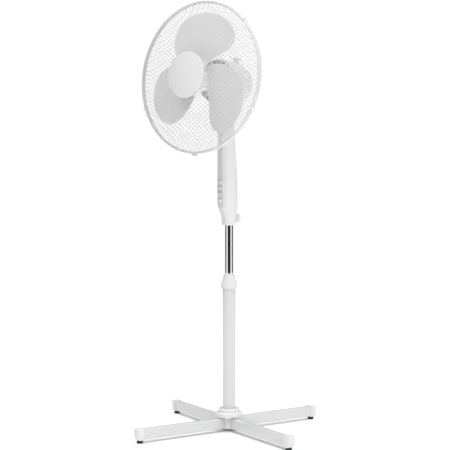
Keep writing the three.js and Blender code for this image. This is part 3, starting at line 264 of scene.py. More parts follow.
def mesh_of(name, skins):
    """One mesh from skins: rows of points that close on themselves, joined by four-cornered faces."""
    points, faces, start = [], [], 0
    for grid, closed in skins:
        rows, columns = grid.shape[:2]
        index = start + np.arange(rows * columns).reshape(rows, columns)
        low, high = (index, np.roll(index, -1, 0)) if closed else (index[:-1], index[1:])
        faces.append(np.stack([low, np.roll(low, -1, 1), np.roll(high, -1, 1), high], -1).reshape(-1, 4))
        points.append(grid.reshape(-1, 3) * MM)
        start += rows * columns
    mesh = bpy.data.meshes.new(name)
    mesh.from_pydata(np.concatenate(points).tolist(), [], np.concatenate(faces).tolist())
    work = bmesh.new()
    work.from_mesh(mesh)
    bmesh.ops.remove_doubles(work, verts=work.verts, dist=1e-7)
    bmesh.ops.recalc_face_normals(work, faces=work.faces)
    work.to_mesh(mesh)
    work.free()
    return mesh


def loose(name, *skins):
    """A new object with one mesh from skins, not yet finished or placed on a body."""
    thing = bpy.data.objects.new(name, mesh_of(name, skins))
    bpy.context.scene.collection.objects.link(thing)
    return thing


def carve(thing, operation, *tools):
    """Joins the tools to a closed body or cuts them from it, and removes the tools."""
    for tool in tools:
        change = thing.modifiers.new("Carve", "BOOLEAN")
        change.operation, change.object, change.solver = operation, tool, "EXACT"
    view = bpy.context.evaluated_depsgraph_get()
    view.update()
    mesh = bpy.data.meshes.new_from_object(thing.evaluated_get(view))
    thing.modifiers.clear()
    thing.data = mesh
    for tool in tools:
        bpy.data.objects.remove(tool)
    return thing


BODY_OF = {node: body for body, nodes in frame["record"]["behaviour"]["bodies"].items() for node in nodes}


def seat(thing, finish, *nodes, crease=32):
    """Finishes a piece: smooth but for creases, in its finish, on its body, in place of its nodes."""
    thing.data.polygons.foreach_set("use_smooth", np.ones(len(thing.data.polygons), bool))
    thing.data.set_sharp_from_angle(angle=math.radians(crease))
    thing.data.materials.clear()
    thing.data.materials.append(finish.material)
    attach(thing, BODY_OF[nodes[0]])
    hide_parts(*nodes)
    return thing


rubber = Finish("BlackRubber", "black_rubber", Specular_IOR_Level=0.35)
grain = rubber.noise(900, 4)
rubber.set(Base_Color=rubber.shade(rubber.noise(70, 3), (0.012, 0.012, 0.013), (0.03, 0.03, 0.03)),
           Roughness=0.62 + 0.25 * grain)
rubber.relief(grain, 0.0003)

ARMS = {"right": 0, "back": 90, "left": 180, "front": 270}


def arm_place(side):
    """Along an arm from the column, across it, and up."""
    a = math.radians(ARMS[side])
    return Place((0, 0, 0), (math.cos(a), math.sin(a), 0), (-math.sin(a), math.cos(a), 0), (0, 0, 1))


FOOT_STEM, FOOT_GAP = 4, 0.3
for side in ARMS:
    low, high = extent(f"foot_{side}")
    centre, radius = (low + high) / 2, (high[:2] - low[:2]).max() / 2
    pad = extent(f"leg_cap_{side}")[0][2] - FOOT_GAP
    stand = Place((centre[0], centre[1], 0), (1, 0, 0), (0, 1, 0), (0, 0, 1))
    outline = filleted([(0, 0.5, 0), (radius - 3.2, 0.5, 0), (radius - 2.6, 0, 0), (radius, 0, 1.4),
                        (radius, pad, 0.9), (FOOT_STEM, pad, 0.3), (FOOT_STEM, high[2], 0.8),
                        (0, high[2], 0)])
    seat(loose(f"foot_pad_{side}", turned(outline, stand, 48)), rubber, f"foot_{side}")

# Legs: four lengths of rectangular steel tube with rounded corners, powder coated white,
# pushed over the hub's stubs. The coat has a fine orange peel.
LEG_CORNER, LEG_WALL = 2.6, 1.5


def box_outline(x0, x1, y0, y1, corner, steps=5):
    """A rectangle with round corners, anticlockwise."""
    return filleted([(x0, y0, corner), (x1, y0, corner), (x1, y1, corner), (x0, y1, corner)], steps)


def carried(outlines, stations, place):
    """Closed outlines (y, z) set at stations along x."""
    grid = [place(np.full(len(line), station), line[:, 0], line[:, 1])
            for line, station in zip(outlines, stations)]
    return np.stack(grid)


paint = Finish("WhitePowderCoat", "white_paint", Coat_Roughness=0.12, Specular_IOR_Level=0.5)
peel = paint.noise(420, 2)
paint.set(Base_Color=paint.shade(paint.noise(9, 3), (0.665, 0.667, 0.67), (0.69, 0.692, 0.694)),
          Roughness=0.3 + 0.12 * paint.noise(60, 3), Coat_Weight=0.25 + 0.1 * peel)
paint.relief(peel, 0.00012)

for side in ARMS:
    place = arm_place(side)
    low, high = extent("leg_right")
    start, end, half = low[0], high[0], (high[1] - low[1]) / 2
    outer = box_outline(-half, half, low[2], high[2], LEG_CORNER)
    inner = box_outline(LEG_WALL - half, half - LEG_WALL, low[2] + LEG_WALL, high[2] - LEG_WALL,
                        LEG_CORNER - LEG_WALL)
    tube = carried([outer, outer, inner, inner], [start, end, end, start], place)
    seat(loose(f"leg_tube_{side}", (tube, True)), paint, f"leg_{side}")

# Leg caps: moulded shoes over the tube ends, hollow inside, with a large radius below
# the outer face and a soft edge all round. They hold the rubber feet.
CAP_TOE, CAP_SOFT, CAP_WALL_SIDE, CAP_END = 9, 1.4, 1.5, 3

plastic = Finish("WhiteMouldedPlastic", "white_plastic", Coat_Roughness=0.2, Specular_IOR_Level=0.5)
fine = plastic.noise(1500, 3)
plastic.set(Base_Color=plastic.shade(plastic.noise(14, 4), (0.73, 0.732, 0.735), (0.755, 0.757, 0.759)),
            Roughness=0.34 + 0.14 * plastic.noise(90, 3), Coat_Weight=0.1 + 0.08 * fine)
plastic.relief(fine, 0.00008)

for side in ARMS:
    place = arm_place(side)
    low, high = extent("leg_cap_right")
    mouth, face, half = low[0], high[0], (high[1] - low[1]) / 2
    turn = np.linspace(0, math.pi / 2, 6)
    stations, outlines = [], []
    pocket = box_outline(CAP_WALL_SIDE - half, half - CAP_WALL_SIDE, low[2] + CAP_WALL_SIDE,
                         high[2] - CAP_WALL_SIDE, LEG_CORNER)
    pocket_centre = np.tile(pocket.mean(0), (len(pocket), 1))
    for line, station in [(pocket_centre, face - CAP_END), (pocket, face - CAP_END), (pocket, mouth)]:
        outlines.append(line)
        stations.append(station)
    for station, inset, rise in [(mouth, 0.5, 0), (mouth + 0.5, 0, 0), (face - CAP_TOE, 0, 0)] + [
            (face - CAP_TOE + (CAP_TOE - CAP_SOFT) * math.sin(t), 0, CAP_TOE * (1 - math.cos(0.93 * t)))
            for t in turn[1:]] + [
            (face - CAP_SOFT + CAP_SOFT * math.sin(t), CAP_SOFT * (1 - math.cos(t)), CAP_TOE * 0.89)
            for t in turn[1:]]:
        outlines.append(box_outline(inset - half, half - inset, low[2] + rise + inset, high[2] - inset, 2.4))
        stations.append(station)
    outlines.append(np.tile(outlines[-1].mean(0), (len(pocket), 1)))
    stations.append(face)
    seat(loose(f"leg_shoe_{side}", (carried(outlines, stations, place), False)), plastic, f"leg_cap_{side}",
         crease=40)

# Hub: a round boss moulded with a stub for each leg and a socket for the column,
# and below it a bolt head. The cover ring above it is a two-step moulding that slides down the tube.
low, high = extent("base_hub")
tube_low, tube_high = extent("lower_tube")
tube_radius = (tube_high[0] - tube_low[0]) / 2
HUB_RADIUS, STUB_SIDE, HUB_FLOOR, BOLT_HOLE, FIT = 23, 0.3, 6, 4.3, 0.3
socket_radius = tube_radius + FIT
boss = filleted([(BOLT_HOLE, low[2], 0), (HUB_RADIUS, low[2], 1.2), (HUB_RADIUS, high[2], 0.4),
                 (socket_radius, high[2], 0.3), (socket_radius, low[2] + HUB_FLOOR, 0),
                 (BOLT_HOLE, low[2] + HUB_FLOOR, 0)])
stub_low, stub_high = extent("leg_right")
stub_half = (stub_high[1] - stub_low[1]) / 2 - LEG_WALL - STUB_SIDE
hub = loose("hub_boss", turned(boss, closed=True))
stub_outline = box_outline(-stub_half, stub_half, stub_low[2] + LEG_WALL + STUB_SIDE,
                           stub_high[2] - LEG_WALL - STUB_SIDE, 1)
stub_end = np.tile(stub_outline.mean(0), (len(stub_outline), 1))
stubs = [loose(f"stub_{side}", (carried([stub_end, stub_outline, stub_outline, stub_end],
                                        [socket_radius + 1.5, socket_radius + 1.5, high[0], high[0]],
                                        arm_place(side)), False)) for side in ARMS]
seat(carve(hub, "UNION", *stubs), plastic, "base_hub")

low, high = extent("base_cover")
FLANGE_HEIGHT, RING_RADIUS = 13, 32
flange_radius, step = (high[0] - low[0]) / 2, low[2] + FLANGE_HEIGHT
seat(loose("cover_ring", turned(filleted([
    (socket_radius, low[2], 0.3), (flange_radius, low[2], 0.8), (flange_radius, step, 4.5),
    (RING_RADIUS, step + 0.6, 1.2), (RING_RADIUS, high[2], 3.6), (socket_radius, high[2], 0.5)], 8),
    closed=True)), plastic, "base_cover")

steel = Finish("ZincSteel", "steel", Metallic=1.0)
wear = steel.noise(160, 4, steel.stretched((1, 1, 0.25)))
steel.set(Base_Color=steel.shade(wear, (0.42, 0.43, 0.45), (0.62, 0.63, 0.64)),
          Roughness=0.28 + 0.25 * wear)
steel.relief(steel.noise(1400, 2), 0.00005)


def carry_over(finish, *nodes):
    """Gives nodes that keep their own shape their finish."""
    for node in nodes:
        thing = frame["nodes"][node]
        thing.data.materials.clear()
        thing.data.materials.append(finish.material)


carry_over(steel, "base_bolt")

# Lower tube: welded steel tube with a white powder coat, closed at the bottom by a floor for the base
# bolt, which draws it down into the hub's socket.
TUBE_WALL, TUBE_FLOOR = 1.2, 9.7
seat(loose("column_tube", turned(filleted([
    (BOLT_HOLE, tube_low[2], 0), (tube_radius, tube_low[2], 0.5), (tube_radius, tube_high[2], 0.4),
    (tube_radius - TUBE_WALL, tube_high[2], 0.4), (tube_radius - TUBE_WALL, tube_low[2] + TUBE_FLOOR, 0),
    (BOLT_HOLE, tube_low[2] + TUBE_FLOOR, 0)]), closed=True)), paint, "lower_tube")

# Collar: a plastic sleeve pressed on the tube and a split black collet round the pole. The clamp
# nut screws over them: a band with fine grip ribs and a smooth cone above.
black = Finish("BlackMouldedPlastic", "black_plastic")
speck = black.noise(700, 3)
black.set(Base_Color=black.shade(speck, (0.018, 0.018, 0.02), (0.035, 0.035, 0.038)),
          Roughness=0.4 + 0.2 * speck)
black.relief(speck, 0.0001)
carry_over(plastic, "collar_sleeve")
carry_over(black, "collar_collet", "pole_bush")

low, high = extent("clamp_nut")
NUT_BAND, NUT_RIBS, RIB_DEPTH, RIB_MARGIN, THREAD_RISE = 23, 44, 0.5, 4.2, 8.4
nut_radius, shoulder = (high[0] - low[0]) / 2, low[2] + NUT_BAND
NUT_BORE, CONE_BASE, CONE_TOP, CONE_BORE, CONE_INNER = 21.65, 20, 17, 13.1, 16.6
thread_top = tube_high[2] + THREAD_RISE
nut = filleted([(NUT_BORE, low[2], 0.3), (nut_radius, low[2], 0.7), (nut_radius, low[2] + 4, 0),
                (nut_radius, low[2] + 4.6, 0), (nut_radius, shoulder - 4.6, 0), (nut_radius, shoulder - 4, 0),
                (nut_radius, shoulder, 1.4), (CONE_BASE, shoulder + 0.5, 0.8), (CONE_TOP, high[2], 1.2),
                (CONE_BORE, high[2], 0.3), (CONE_BORE, high[2] - 4, 0), (CONE_INNER, shoulder + 0.4, 0),
                (CONE_INNER, thread_top, 0), (NUT_BORE, thread_top, 0)], 6)


def grip(profile, angle):
    """Grooves between the ribs: a cosine round the band, only between its plain edges."""
    off_middle = abs(profile[:, 1] - low[2] - NUT_BAND / 2)
    ribbed = (profile[:, 0] > nut_radius - 0.01) & (off_middle < NUT_BAND / 2 - RIB_MARGIN)
    return -RIB_DEPTH * ribbed[:, None] * (0.5 - 0.5 * np.cos(NUT_RIBS * angle)) ** 2


seat(loose("clamp_nut_moulding", turned(nut, sides=NUT_RIBS * 8, closed=True, reach=grip)), plastic,
     "clamp_nut")

# Pole: thin steel tube, polished and chrome plated, with faint polishing marks along it. It slides in
# the lower tube and is held by the collar.
chrome = Finish("Chrome", "chrome", Metallic=1.0)
polish = chrome.noise(500, 3, chrome.stretched((1, 1, 0.04)))
chrome.set(Base_Color=chrome.shade(polish, (0.68, 0.685, 0.69), (0.73, 0.735, 0.74)),
           Roughness=0.02 + 0.03 * polish)
low, high = extent("chrome_pole")
pole_radius, POLE_WALL = (high[0] - low[0]) / 2, 1
seat(loose("pole_tube", turned(filleted([
    (pole_radius - POLE_WALL, low[2], 0.3), (pole_radius, low[2], 0.3), (pole_radius, high[2], 0.3),
    (pole_radius - POLE_WALL, high[2], 0.3)], 3), closed=True)), chrome, "chrome_pole")

# Control housing: a deep moulding, round at its socket, that swells for the switches and narrows up to
# two ears for the tilt joint. Its front is a separate flat panel, clipped in with a fine seam.
shell_low = extent("housing_shell")[0]
panel_low, panel_high = extent("housing_front")
HOUSING = np.array([  # rise, half width, front, back, half width of the flat strip
    (0, 20.5, 20.5, 20.5, 5), (24, 20.5, 20.6, 20.5, 7), (51, 25.5, 31, 24.8, 14.5), (92, 27, 32.5, 25.5, 15),
    (143, 25.3, 32.6, 23.6, 14), (224, 21, 33, 18.3, 12), (273, 19, 32.5, 14.5, 11),
    (313, 17.5, 31.5, 12.5, 10)])
HOUSING_TOP, SHELL_WALL, TOP_SOFT = 313, 2.2, 5
LEVELS, CAVITY_LEVELS = 90, 40


def housing_skin(rises, insets):
    """Each level is a flat strip of half width s at depth f, a side that bends as a parabola from
    (s, -f) by (w, -0.88 f) to (w, 0), and a quarter ellipse back to (0, b). Sizes along the height are
    a running mean of the listed levels over 18 mm; the inset is taken from all of them."""
    window = np.linspace(-9, 9, 13)
    sizes = np.stack([np.interp(rises[:, None] + window, HOUSING[:, 0], HOUSING[:, k]).mean(1)
                      for k in (1, 2, 3, 4)])
    w, f, b, s = (size[:, None] - insets[:, None] * share for size, share in zip(sizes, (1, 1, 1, 0.5)))
    t = np.linspace(0, 1, 13)[1:]
    strip = np.linspace(0, 1, 5)
    back = np.linspace(0, math.pi / 2, 13)[1:]
    x = np.concatenate([s * strip, (1 - t) ** 2 * s + (2 * t * (1 - t) + t ** 2) * w, w * np.cos(back)], 1)
    y = np.concatenate([-f + 0 * strip, -(1 - t) ** 2 * f - 2 * t * (1 - t) * 0.88 * f, b * np.sin(back)], 1)
    x = np.concatenate([x, -x[:, -2:0:-1]], 1)
    y = np.concatenate([y, y[:, -2:0:-1]], 1)
    return COLUMN(x, y, shell_low[2] + rises[:, None])


def closed_ends(grid):
    """Adds a point at each end, in the middle of the end row."""
    return np.concatenate([np.broadcast_to(grid[0].mean(0), (1, *grid[0].shape)), grid,
                           np.broadcast_to(grid[-1].mean(0), (1, *grid[-1].shape))])


quarter = np.linspace(0, math.pi / 2, 6)
rises = np.concatenate([[0, 0.6], np.linspace(2, HOUSING_TOP - TOP_SOFT, LEVELS),
                        HOUSING_TOP - TOP_SOFT + TOP_SOFT * np.sin(quarter[1:])])
insets = np.concatenate([[0.6, 0], np.zeros(LEVELS), TOP_SOFT * (1 - np.cos(quarter[1:]))])
SHELL_FLOOR, SHELL_ROOF = 43, 305
cavity_rises = np.linspace(SHELL_FLOOR, SHELL_ROOF, CAVITY_LEVELS)


def housing_body(name):
    return loose(name, (closed_ends(housing_skin(rises, insets)), False))


def housing_cavity():
    skin = housing_skin(cavity_rises, np.full(CAVITY_LEVELS, SHELL_WALL))
    return loose("cavity", (closed_ends(skin), False))


def brick(name, x, y, z):
    """A plain block between two values on each axis, for cutting."""
    outline = np.array([(y[0], z[0]), (y[1], z[0]), (y[1], z[1]), (y[0], z[1])], float)
    middle = np.tile(outline.mean(0), (4, 1))
    return loose(name, (carried([middle, outline, outline, middle], [x[0], x[0], x[1], x[1]], COLUMN), False))


def pin(name, radius, start, end, place, sides=48):
    """A round pin along the place's third axis."""
    return loose(name, turned([(0, start), (radius, start), (radius, end), (0, end)], place, sides))


joints = {joint["name"]: joint for joint in frame["joints"]}
tilt_point = np.array(joints["tilt"]["pos_m"]) / MM
EAR_INNER, EAR_OUTER, EAR_RADIUS, EAR_SOFT = 10.2, 17, 12, 1.2


def ear(name, start, end):
    """An upright lug round the tilt axis: a stadium outline, soft on its outer edges."""
    a = np.linspace(0, math.pi, 25)
    arc = np.stack([EAR_RADIUS * np.cos(a), EAR_RADIUS * np.sin(a)], 1)
    foot_depth = shell_low[2] + SHELL_ROOF + 1 - tilt_point[2]
    outline = np.concatenate([arc, [(-EAR_RADIUS, foot_depth), (EAR_RADIUS, foot_depth)]])
    centre = np.array([0, foot_depth / 2])
    lines, stations = [], []
    for station, share in [(start, 0.0), (start, 0.95), (start + EAR_SOFT * 0.5, 0.985),
                           (start + EAR_SOFT, 1.0), (end - EAR_SOFT, 1.0),
                           (end - EAR_SOFT * 0.5, 0.985), (end, 0.95), (end, 0.0)]:
        lines.append(centre + (outline - centre) * share + tilt_point[1:])
        stations.append(station)
    return loose(name, (carried(lines, stations, COLUMN), False))


lock_low, lock_high = extent("lock_knob")
lock_height = (lock_low[2] + lock_high[2]) / 2
gland_low, gland_high = extent("cord_gland")
gland_height = (gland_low[2] + gland_high[2]) / 2
LOCK_AXIS = Place((0, 0, lock_height), (1, 0, 0), (0, 0, -1), (0, 1, 0))
GLAND_AXIS = Place((0, 0, gland_height), (1, 0, 0), (0, 0, -1), (0, 1, 0))
TILT_AXIS = Place(tilt_point, (0, 1, 0), (0, 0, 1), (1, 0, 0))
SEAM, PANEL_BACK = 0.35, panel_high[1]

shell = carve(housing_body("housing_moulding"), "UNION", ear("ear_right", EAR_INNER, EAR_OUTER),
              ear("ear_left", -EAR_OUTER, -EAR_INNER))
carve(shell, "DIFFERENCE", housing_cavity(),
      brick("panel_zone", (-40, 40), (-60, PANEL_BACK + SEAM), (panel_low[2] - SEAM, panel_high[2] + SEAM)),
      pin("pole_bore", pole_radius + 0.3, shell_low[2] - 1, high[2] + 0.3, COLUMN, 64),
      pin("wire_way", pole_radius - 2, high[2] - 1, shell_low[2] + SHELL_FLOOR + 1, COLUMN),
      pin("lock_bore", 4.4, 2, 40, LOCK_AXIS), pin("gland_bore", 4.5, 2, 40, GLAND_AXIS),
      pin("tilt_bore", 3.3, -30, 30, TILT_AXIS))
seat(shell, plastic, "housing_shell")

BUTTONS = ["button_speed_3", "button_speed_2", "button_speed_1", "button_off"]
BUTTON_CLEAR, WELL_MARGIN, WELL_DEPTH = 0.4, 2.2, 1.4
button_boxes = {}
for name in BUTTONS:
    low, high = extent(name)
    button_boxes[name] = ((low[2] + high[2]) / 2, low[1])
BUTTON_HALF_WIDTH, BUTTON_HALF_HEIGHT, BUTTON_STAND = 8.5, 5.5, 4.5
top_button, bottom_button = button_boxes[BUTTONS[0]][0], button_boxes[BUTTONS[-1]][0]
front_depth = -button_boxes[BUTTONS[0]][1] - BUTTON_STAND
panel = carve(housing_body("housing_panel"), "INTERSECT",
              brick("panel_block", (-40, 40), (-60, PANEL_BACK), (panel_low[2], panel_high[2])))
carve(panel, "DIFFERENCE", housing_cavity(),
      brick("button_well", (-BUTTON_HALF_WIDTH - WELL_MARGIN, BUTTON_HALF_WIDTH + WELL_MARGIN),
            (-60, WELL_DEPTH - front_depth),
            (bottom_button - BUTTON_HALF_HEIGHT - WELL_MARGIN,
             top_button + BUTTON_HALF_HEIGHT + WELL_MARGIN)),
      *[brick(f"hole_{name}", (-BUTTON_HALF_WIDTH - BUTTON_CLEAR, BUTTON_HALF_WIDTH + BUTTON_CLEAR), (-60, 0),
              (height - BUTTON_HALF_HEIGHT - BUTTON_CLEAR, height + BUTTON_HALF_HEIGHT + BUTTON_CLEAR))
        for name, (height, _) in button_boxes.items()])
seat(panel, plastic, "housing_front")

# Push buttons: four moulded keys with a hollowed face and soft edges, on the switch block. The lowest
# one is off.
KEY_SOFT, KEY_HOLLOW, KEY_DEPTH = 1.3, 0.7, 14
for name, (height, face) in button_boxes.items():
    lines, stations = [], []
    key_place = Place((0, face, height), (0, 1, 0), (1, 0, 0), (0, 0, 1))
    for station, inset in [
            (KEY_HOLLOW, 8), (KEY_HOLLOW, 5.4), (KEY_HOLLOW * 0.35, 2.6), (0, KEY_SOFT + 0.4)] + [
            (KEY_SOFT * (1 - math.sin(t)), KEY_SOFT * (1 - math.cos(t))) for t in quarter[::-1]] + [
            (KEY_DEPTH, 0), (KEY_DEPTH, 8)]:
        w, h = max(BUTTON_HALF_WIDTH - inset, 0.01), max(BUTTON_HALF_HEIGHT - inset, 0.005)
        w = max(w, BUTTON_HALF_WIDTH - BUTTON_HALF_HEIGHT + h) if inset < 8 else w
        lines.append(box_outline(-w, w, -h, h, min(max(1.6 - inset, 0.2), h * 0.9, w * 0.9)))
        stations.append(station)
    seat(loose(name + "_key", (carried(lines, stations, key_place), False)), plastic, name, crease=50)

carry_over(black, "switch_block", "run_capacitor")

# Cord gland: a small flanged bush of white plastic, pushed into the housing's back, where the mains
# lead comes out.
gland_back, gland_front = gland_low[1], gland_high[1]
GLAND_RADIUS, GLAND_STEM, GLAND_HOLE, GLAND_FLANGE = 6.5, 4.2, 3, 4
seat(loose("cord_gland_bush", turned(filleted([
    (GLAND_HOLE, gland_back, 0.3), (GLAND_STEM, gland_back, 0.4),
    (GLAND_STEM, gland_front - GLAND_FLANGE, 0), (GLAND_RADIUS, gland_front - GLAND_FLANGE, 0.4),
    (GLAND_RADIUS, gland_front - 2.2, 0.9), (GLAND_HOLE + 1.2, gland_front, 0.8),
    (GLAND_HOLE, gland_front, 0.3)]), GLAND_AXIS, 64, closed=True)), plastic, "cord_gland")

# Lock knob: a thumb screw moulded in white plastic, with a fluted head. It goes through the socket and
# bears on the pole.
KNOB_FLUTES, FLUTE_DEPTH = 10, 1.1
knob_back = lock_high[1] - 8
knob_radius = (lock_high[0] - lock_low[0]) / 2


def flutes(profile, angle):
    """Rounded hollows round the rim: deep where the cosine is low, none inside the rim."""
    rim = np.clip((profile[:, :1] - 0.62 * knob_radius) / (0.38 * knob_radius), 0, 1)
    return -FLUTE_DEPTH * rim * (0.5 - 0.5 * np.cos(KNOB_FLUTES * angle)) ** 3


seat(loose("lock_knob_screw", turned(filleted([
    (0, lock_low[1], 0), (4, lock_low[1], 0.5), (4, knob_back - 5.5, 0), (7, knob_back - 5.5, 0.3),
    (7.6, knob_back, 0.3), (knob_radius, knob_back, 1.2), (knob_radius, lock_high[1], 1.8),
    (knob_radius - 4.5, lock_high[1], 0.6), (knob_radius - 5.5, lock_high[1] - 0.9, 0.6),
    (0, lock_high[1] - 0.9, 0)]), LOCK_AXIS, 120, reach=flutes)), plastic, "lock_knob")

# Tilt joint: a bolt through both ears with a fluted knob on its end, a bracket whose tongue stands
# between them, and a black washer that the head turns on.
low, high = extent("tilt_knob")
TILT_KNOB_RADIUS = 11


def tilt_flutes(profile, angle):
    """Nine rounded hollows that fade out inwards from the rim."""
    rim = np.clip((profile[:, :1] - 7) / 4, 0, 1)
    return -0.8 * rim * (0.5 - 0.5 * np.cos(9 * angle)) ** 3


seat(loose("tilt_knob_moulding", turned(filleted([
    (3.3, low[0], 0.3), (6.2, low[0], 0.4), (7, low[0] + 3, 0.5), (TILT_KNOB_RADIUS, low[0] + 4, 1.0),
    (TILT_KNOB_RADIUS, high[0] - 0.4, 1.8), (7.5, high[0], 1), (6, high[0] - 0.7, 0.6), (0, high[0] - 0.7, 0),
    (0, low[0] + 9, 0), (3.3, low[0] + 9, 0)]), TILT_AXIS, 108, reach=tilt_flutes)), plastic, "tilt_knob")
carry_over(steel, "tilt_bolt")

up = np.array(joints["swing"]["axis"])
ahead = np.array(joints["blade_spin"]["axis"])
across = np.cross(up, ahead)
bracket_ahead = np.cross(up, (1.0, 0, 0))
SWIVEL = Place(tilt_point, (1, 0, 0), -bracket_ahead, up)
TONGUE_HALF, SOCKET_RADIUS, SOCKET_LOW, SOCKET_HIGH, PIN_CLEAR = 9.9, 15, 16, 31, 8.4
anchor_top = extent("tilt_bracket")[1][2] - tilt_point[2]
ANCHOR_RADIUS, ANCHOR_REACH = 2.5, 19
anchor_place = Place(tilt_point + [ANCHOR_REACH, 0, 0], (1, 0, 0), -bracket_ahead, up)
tongue_profile = filleted([(0, -TONGUE_HALF, 0), (EAR_RADIUS, -TONGUE_HALF, 1), (EAR_RADIUS, TONGUE_HALF, 1),
                           (0, TONGUE_HALF, 0)])
bracket = loose("tilt_bracket_moulding", turned(tongue_profile, TILT_AXIS))
neck_outline = box_outline(-9, 9, 0, SOCKET_LOW + 1, 0.2)
neck_middle = np.tile(neck_outline.mean(0), (len(neck_outline), 1))
neck = loose("neck", (carried([neck_middle, neck_outline, neck_outline, neck_middle],
                              [-TONGUE_HALF, -TONGUE_HALF, TONGUE_HALF, TONGUE_HALF], SWIVEL), False))
socket = loose("socket", turned(filleted([(0, SOCKET_LOW, 0), (SOCKET_RADIUS, SOCKET_LOW, 3),
                                          (SOCKET_RADIUS, SOCKET_HIGH, 1), (0, SOCKET_HIGH, 0)]), SWIVEL))
lug_outline = box_outline(-4, 4, SOCKET_HIGH - 4, SOCKET_HIGH, 0.6)
lug_middle = np.tile(lug_outline.mean(0), (len(lug_outline), 1))
lug = loose("lug", (carried([lug_middle, lug_outline, lug_outline, lug_middle], [2, 2, 22, 22], SWIVEL),
                    False))
carve(bracket, "UNION", neck, socket, lug,
      pin("anchor", ANCHOR_RADIUS, SOCKET_HIGH - 1, anchor_top, anchor_place, 32))
carve(bracket, "DIFFERENCE", pin("bolt_bore", 3.4, -15, 15, TILT_AXIS),
      pin("swivel_bore", PIN_CLEAR, SOCKET_LOW + 2, SOCKET_HIGH + 3, SWIVEL))
seat(bracket, plastic, "tilt_bracket")
carry_over(black, "swivel_washer")

# Motor: steel bracket with the swivel pin, stator with copper end windings, bearings, the black gear
# case of the swing drive, its crank and link, and the brass worm gear. All sit inside the covers.
copper = Finish("CopperWinding", "copper", Metallic=1.0)
turns = copper.node("TexWave", {"wave_type": "RINGS", "rings_direction": "SPHERICAL"},
                    {"Vector": copper.place, "Scale": 260.0, "Distortion": 2.0})
copper.set(Base_Color=copper.shade(turns, (0.38, 0.13, 0.05), (0.72, 0.33, 0.16)),
           Roughness=0.3 + 0.2 * turns)
copper.relief(turns, 0.0002)
brass = Finish("Brass", "brass", Metallic=1.0)
brushed = brass.noise(420, 3)
brass.set(Base_Color=brass.shade(brushed, (0.52, 0.38, 0.15), (0.7, 0.54, 0.25)),
          Roughness=0.25 + 0.2 * brushed)
carry_over(steel, "motor_bracket", "rear_bearing_plate", "swing_link", "motor_shaft", "rotor_core")
carry_over(copper, "stator")
carry_over(brass, "front_bush", "worm_gear")
carry_over(black, "gear_case", "output_crank")

# Motor covers: two white mouldings that meet at a seam, the front one a deep cup with vents round its
# corner and a boss, the rear one a dome with three slots. Both are open below round the neck.
motor_centre = np.array(joints["blade_spin"]["pos_m"]) / MM
MOTOR = Place(motor_centre, across, up, ahead)
HEAD_UP = Place(motor_centre, across, -ahead, up)
MOTOR_RADIUS, MOTOR_WALL, MOTOR_FRONT, MOTOR_SEAM, MOTOR_REAR = 64, 2.5, 67, 22, 61.5
BOSS_RADIUS, BOSS_FRONT, NECK_OPENING = 18, 79, 26
cup = loose("motor_front_moulding", turned(filleted([
    (MOTOR_RADIUS - MOTOR_WALL, MOTOR_SEAM + 0.3, 0), (MOTOR_RADIUS, MOTOR_SEAM + 0.3, 0.5),
    (MOTOR_RADIUS, MOTOR_FRONT, 7), (BOSS_RADIUS, MOTOR_FRONT, 1.2), (BOSS_RADIUS, BOSS_FRONT, 1),
    (10, BOSS_FRONT, 0.5), (10, MOTOR_FRONT - MOTOR_WALL, 0),
    (MOTOR_RADIUS - MOTOR_WALL, MOTOR_FRONT - MOTOR_WALL, 5)], 10), MOTOR, 144, closed=True))
opening = pin("neck_opening", NECK_OPENING, -MOTOR_RADIUS - 10, -MOTOR_RADIUS / 2, HEAD_UP, 64)
VENTS, VENT_HALF, VENT_DEPTH = 20, 3, 17
vent_in, vent_out = MOTOR_RADIUS - VENT_DEPTH, MOTOR_RADIUS + 2
vents = []
for number in range(VENTS):
    a = math.radians(360 / VENTS * (number + 0.5))
    out = math.cos(a) * across + math.sin(a) * up
    vent_place = Place(motor_centre, out, np.cross(ahead, out), ahead)
    rim = box_outline(-VENT_HALF, VENT_HALF, MOTOR_FRONT - 4, MOTOR_FRONT + 2, 0.3)
    middle = np.tile(rim.mean(0), (len(rim), 1))
    slot = carried([middle, rim, rim, middle], [vent_in, vent_in, vent_out, vent_out], vent_place)
    vents.append(loose(f"vent_{number}", (slot, False)))
seat(carve(cup, "DIFFERENCE", opening, *vents), plastic, "motor_front_cover")

t = np.linspace(0, 1, 24)
dome = np.stack([(1 - t) ** 2 * (MOTOR_RADIUS - 3) + 2 * t * (1 - t) * (MOTOR_RADIUS - 7),
                 -(1 - t) ** 2 * 16 - (2 * t * (1 - t) + t ** 2) * MOTOR_REAR], 1)[::-1]
wall = np.stack([dome[:, 0] * (MOTOR_RADIUS - MOTOR_WALL - 3) / (MOTOR_RADIUS - 3),
                 dome[:, 1] * (MOTOR_REAR - MOTOR_WALL) / MOTOR_REAR], 1)[::-1]
bell = loose("motor_rear_moulding", turned(np.concatenate([
    dome, [(MOTOR_RADIUS, 2), (MOTOR_RADIUS, MOTOR_SEAM), (MOTOR_RADIUS - MOTOR_WALL, MOTOR_SEAM)],
    wall]), MOTOR, 144))
opening = pin("neck_opening", NECK_OPENING, -MOTOR_RADIUS - 10, -MOTOR_RADIUS / 2, HEAD_UP, 64)
CRANK_BACK = 28
clutch_place = Place(motor_centre - CRANK_BACK * ahead, across, -ahead, up)
slots = []
for row in (-1, 0, 1):
    rim = box_outline(-20 + 4 * abs(row), 20 - 4 * abs(row), 12 * row - 2, 12 * row + 2, 1.9)
    middle = np.tile(rim.mean(0), (len(rim), 1))
    slots.append(loose(f"slot_{row}", (carried([middle, rim, rim, middle], [47, 47, 64, 64],
                                               Place(motor_centre, -ahead, across, up)), False)))
seat(carve(bell, "DIFFERENCE", opening, pin("clutch_bore", 3.4, 10, 70, clutch_place), *slots), plastic,
     "motor_rear_cover")

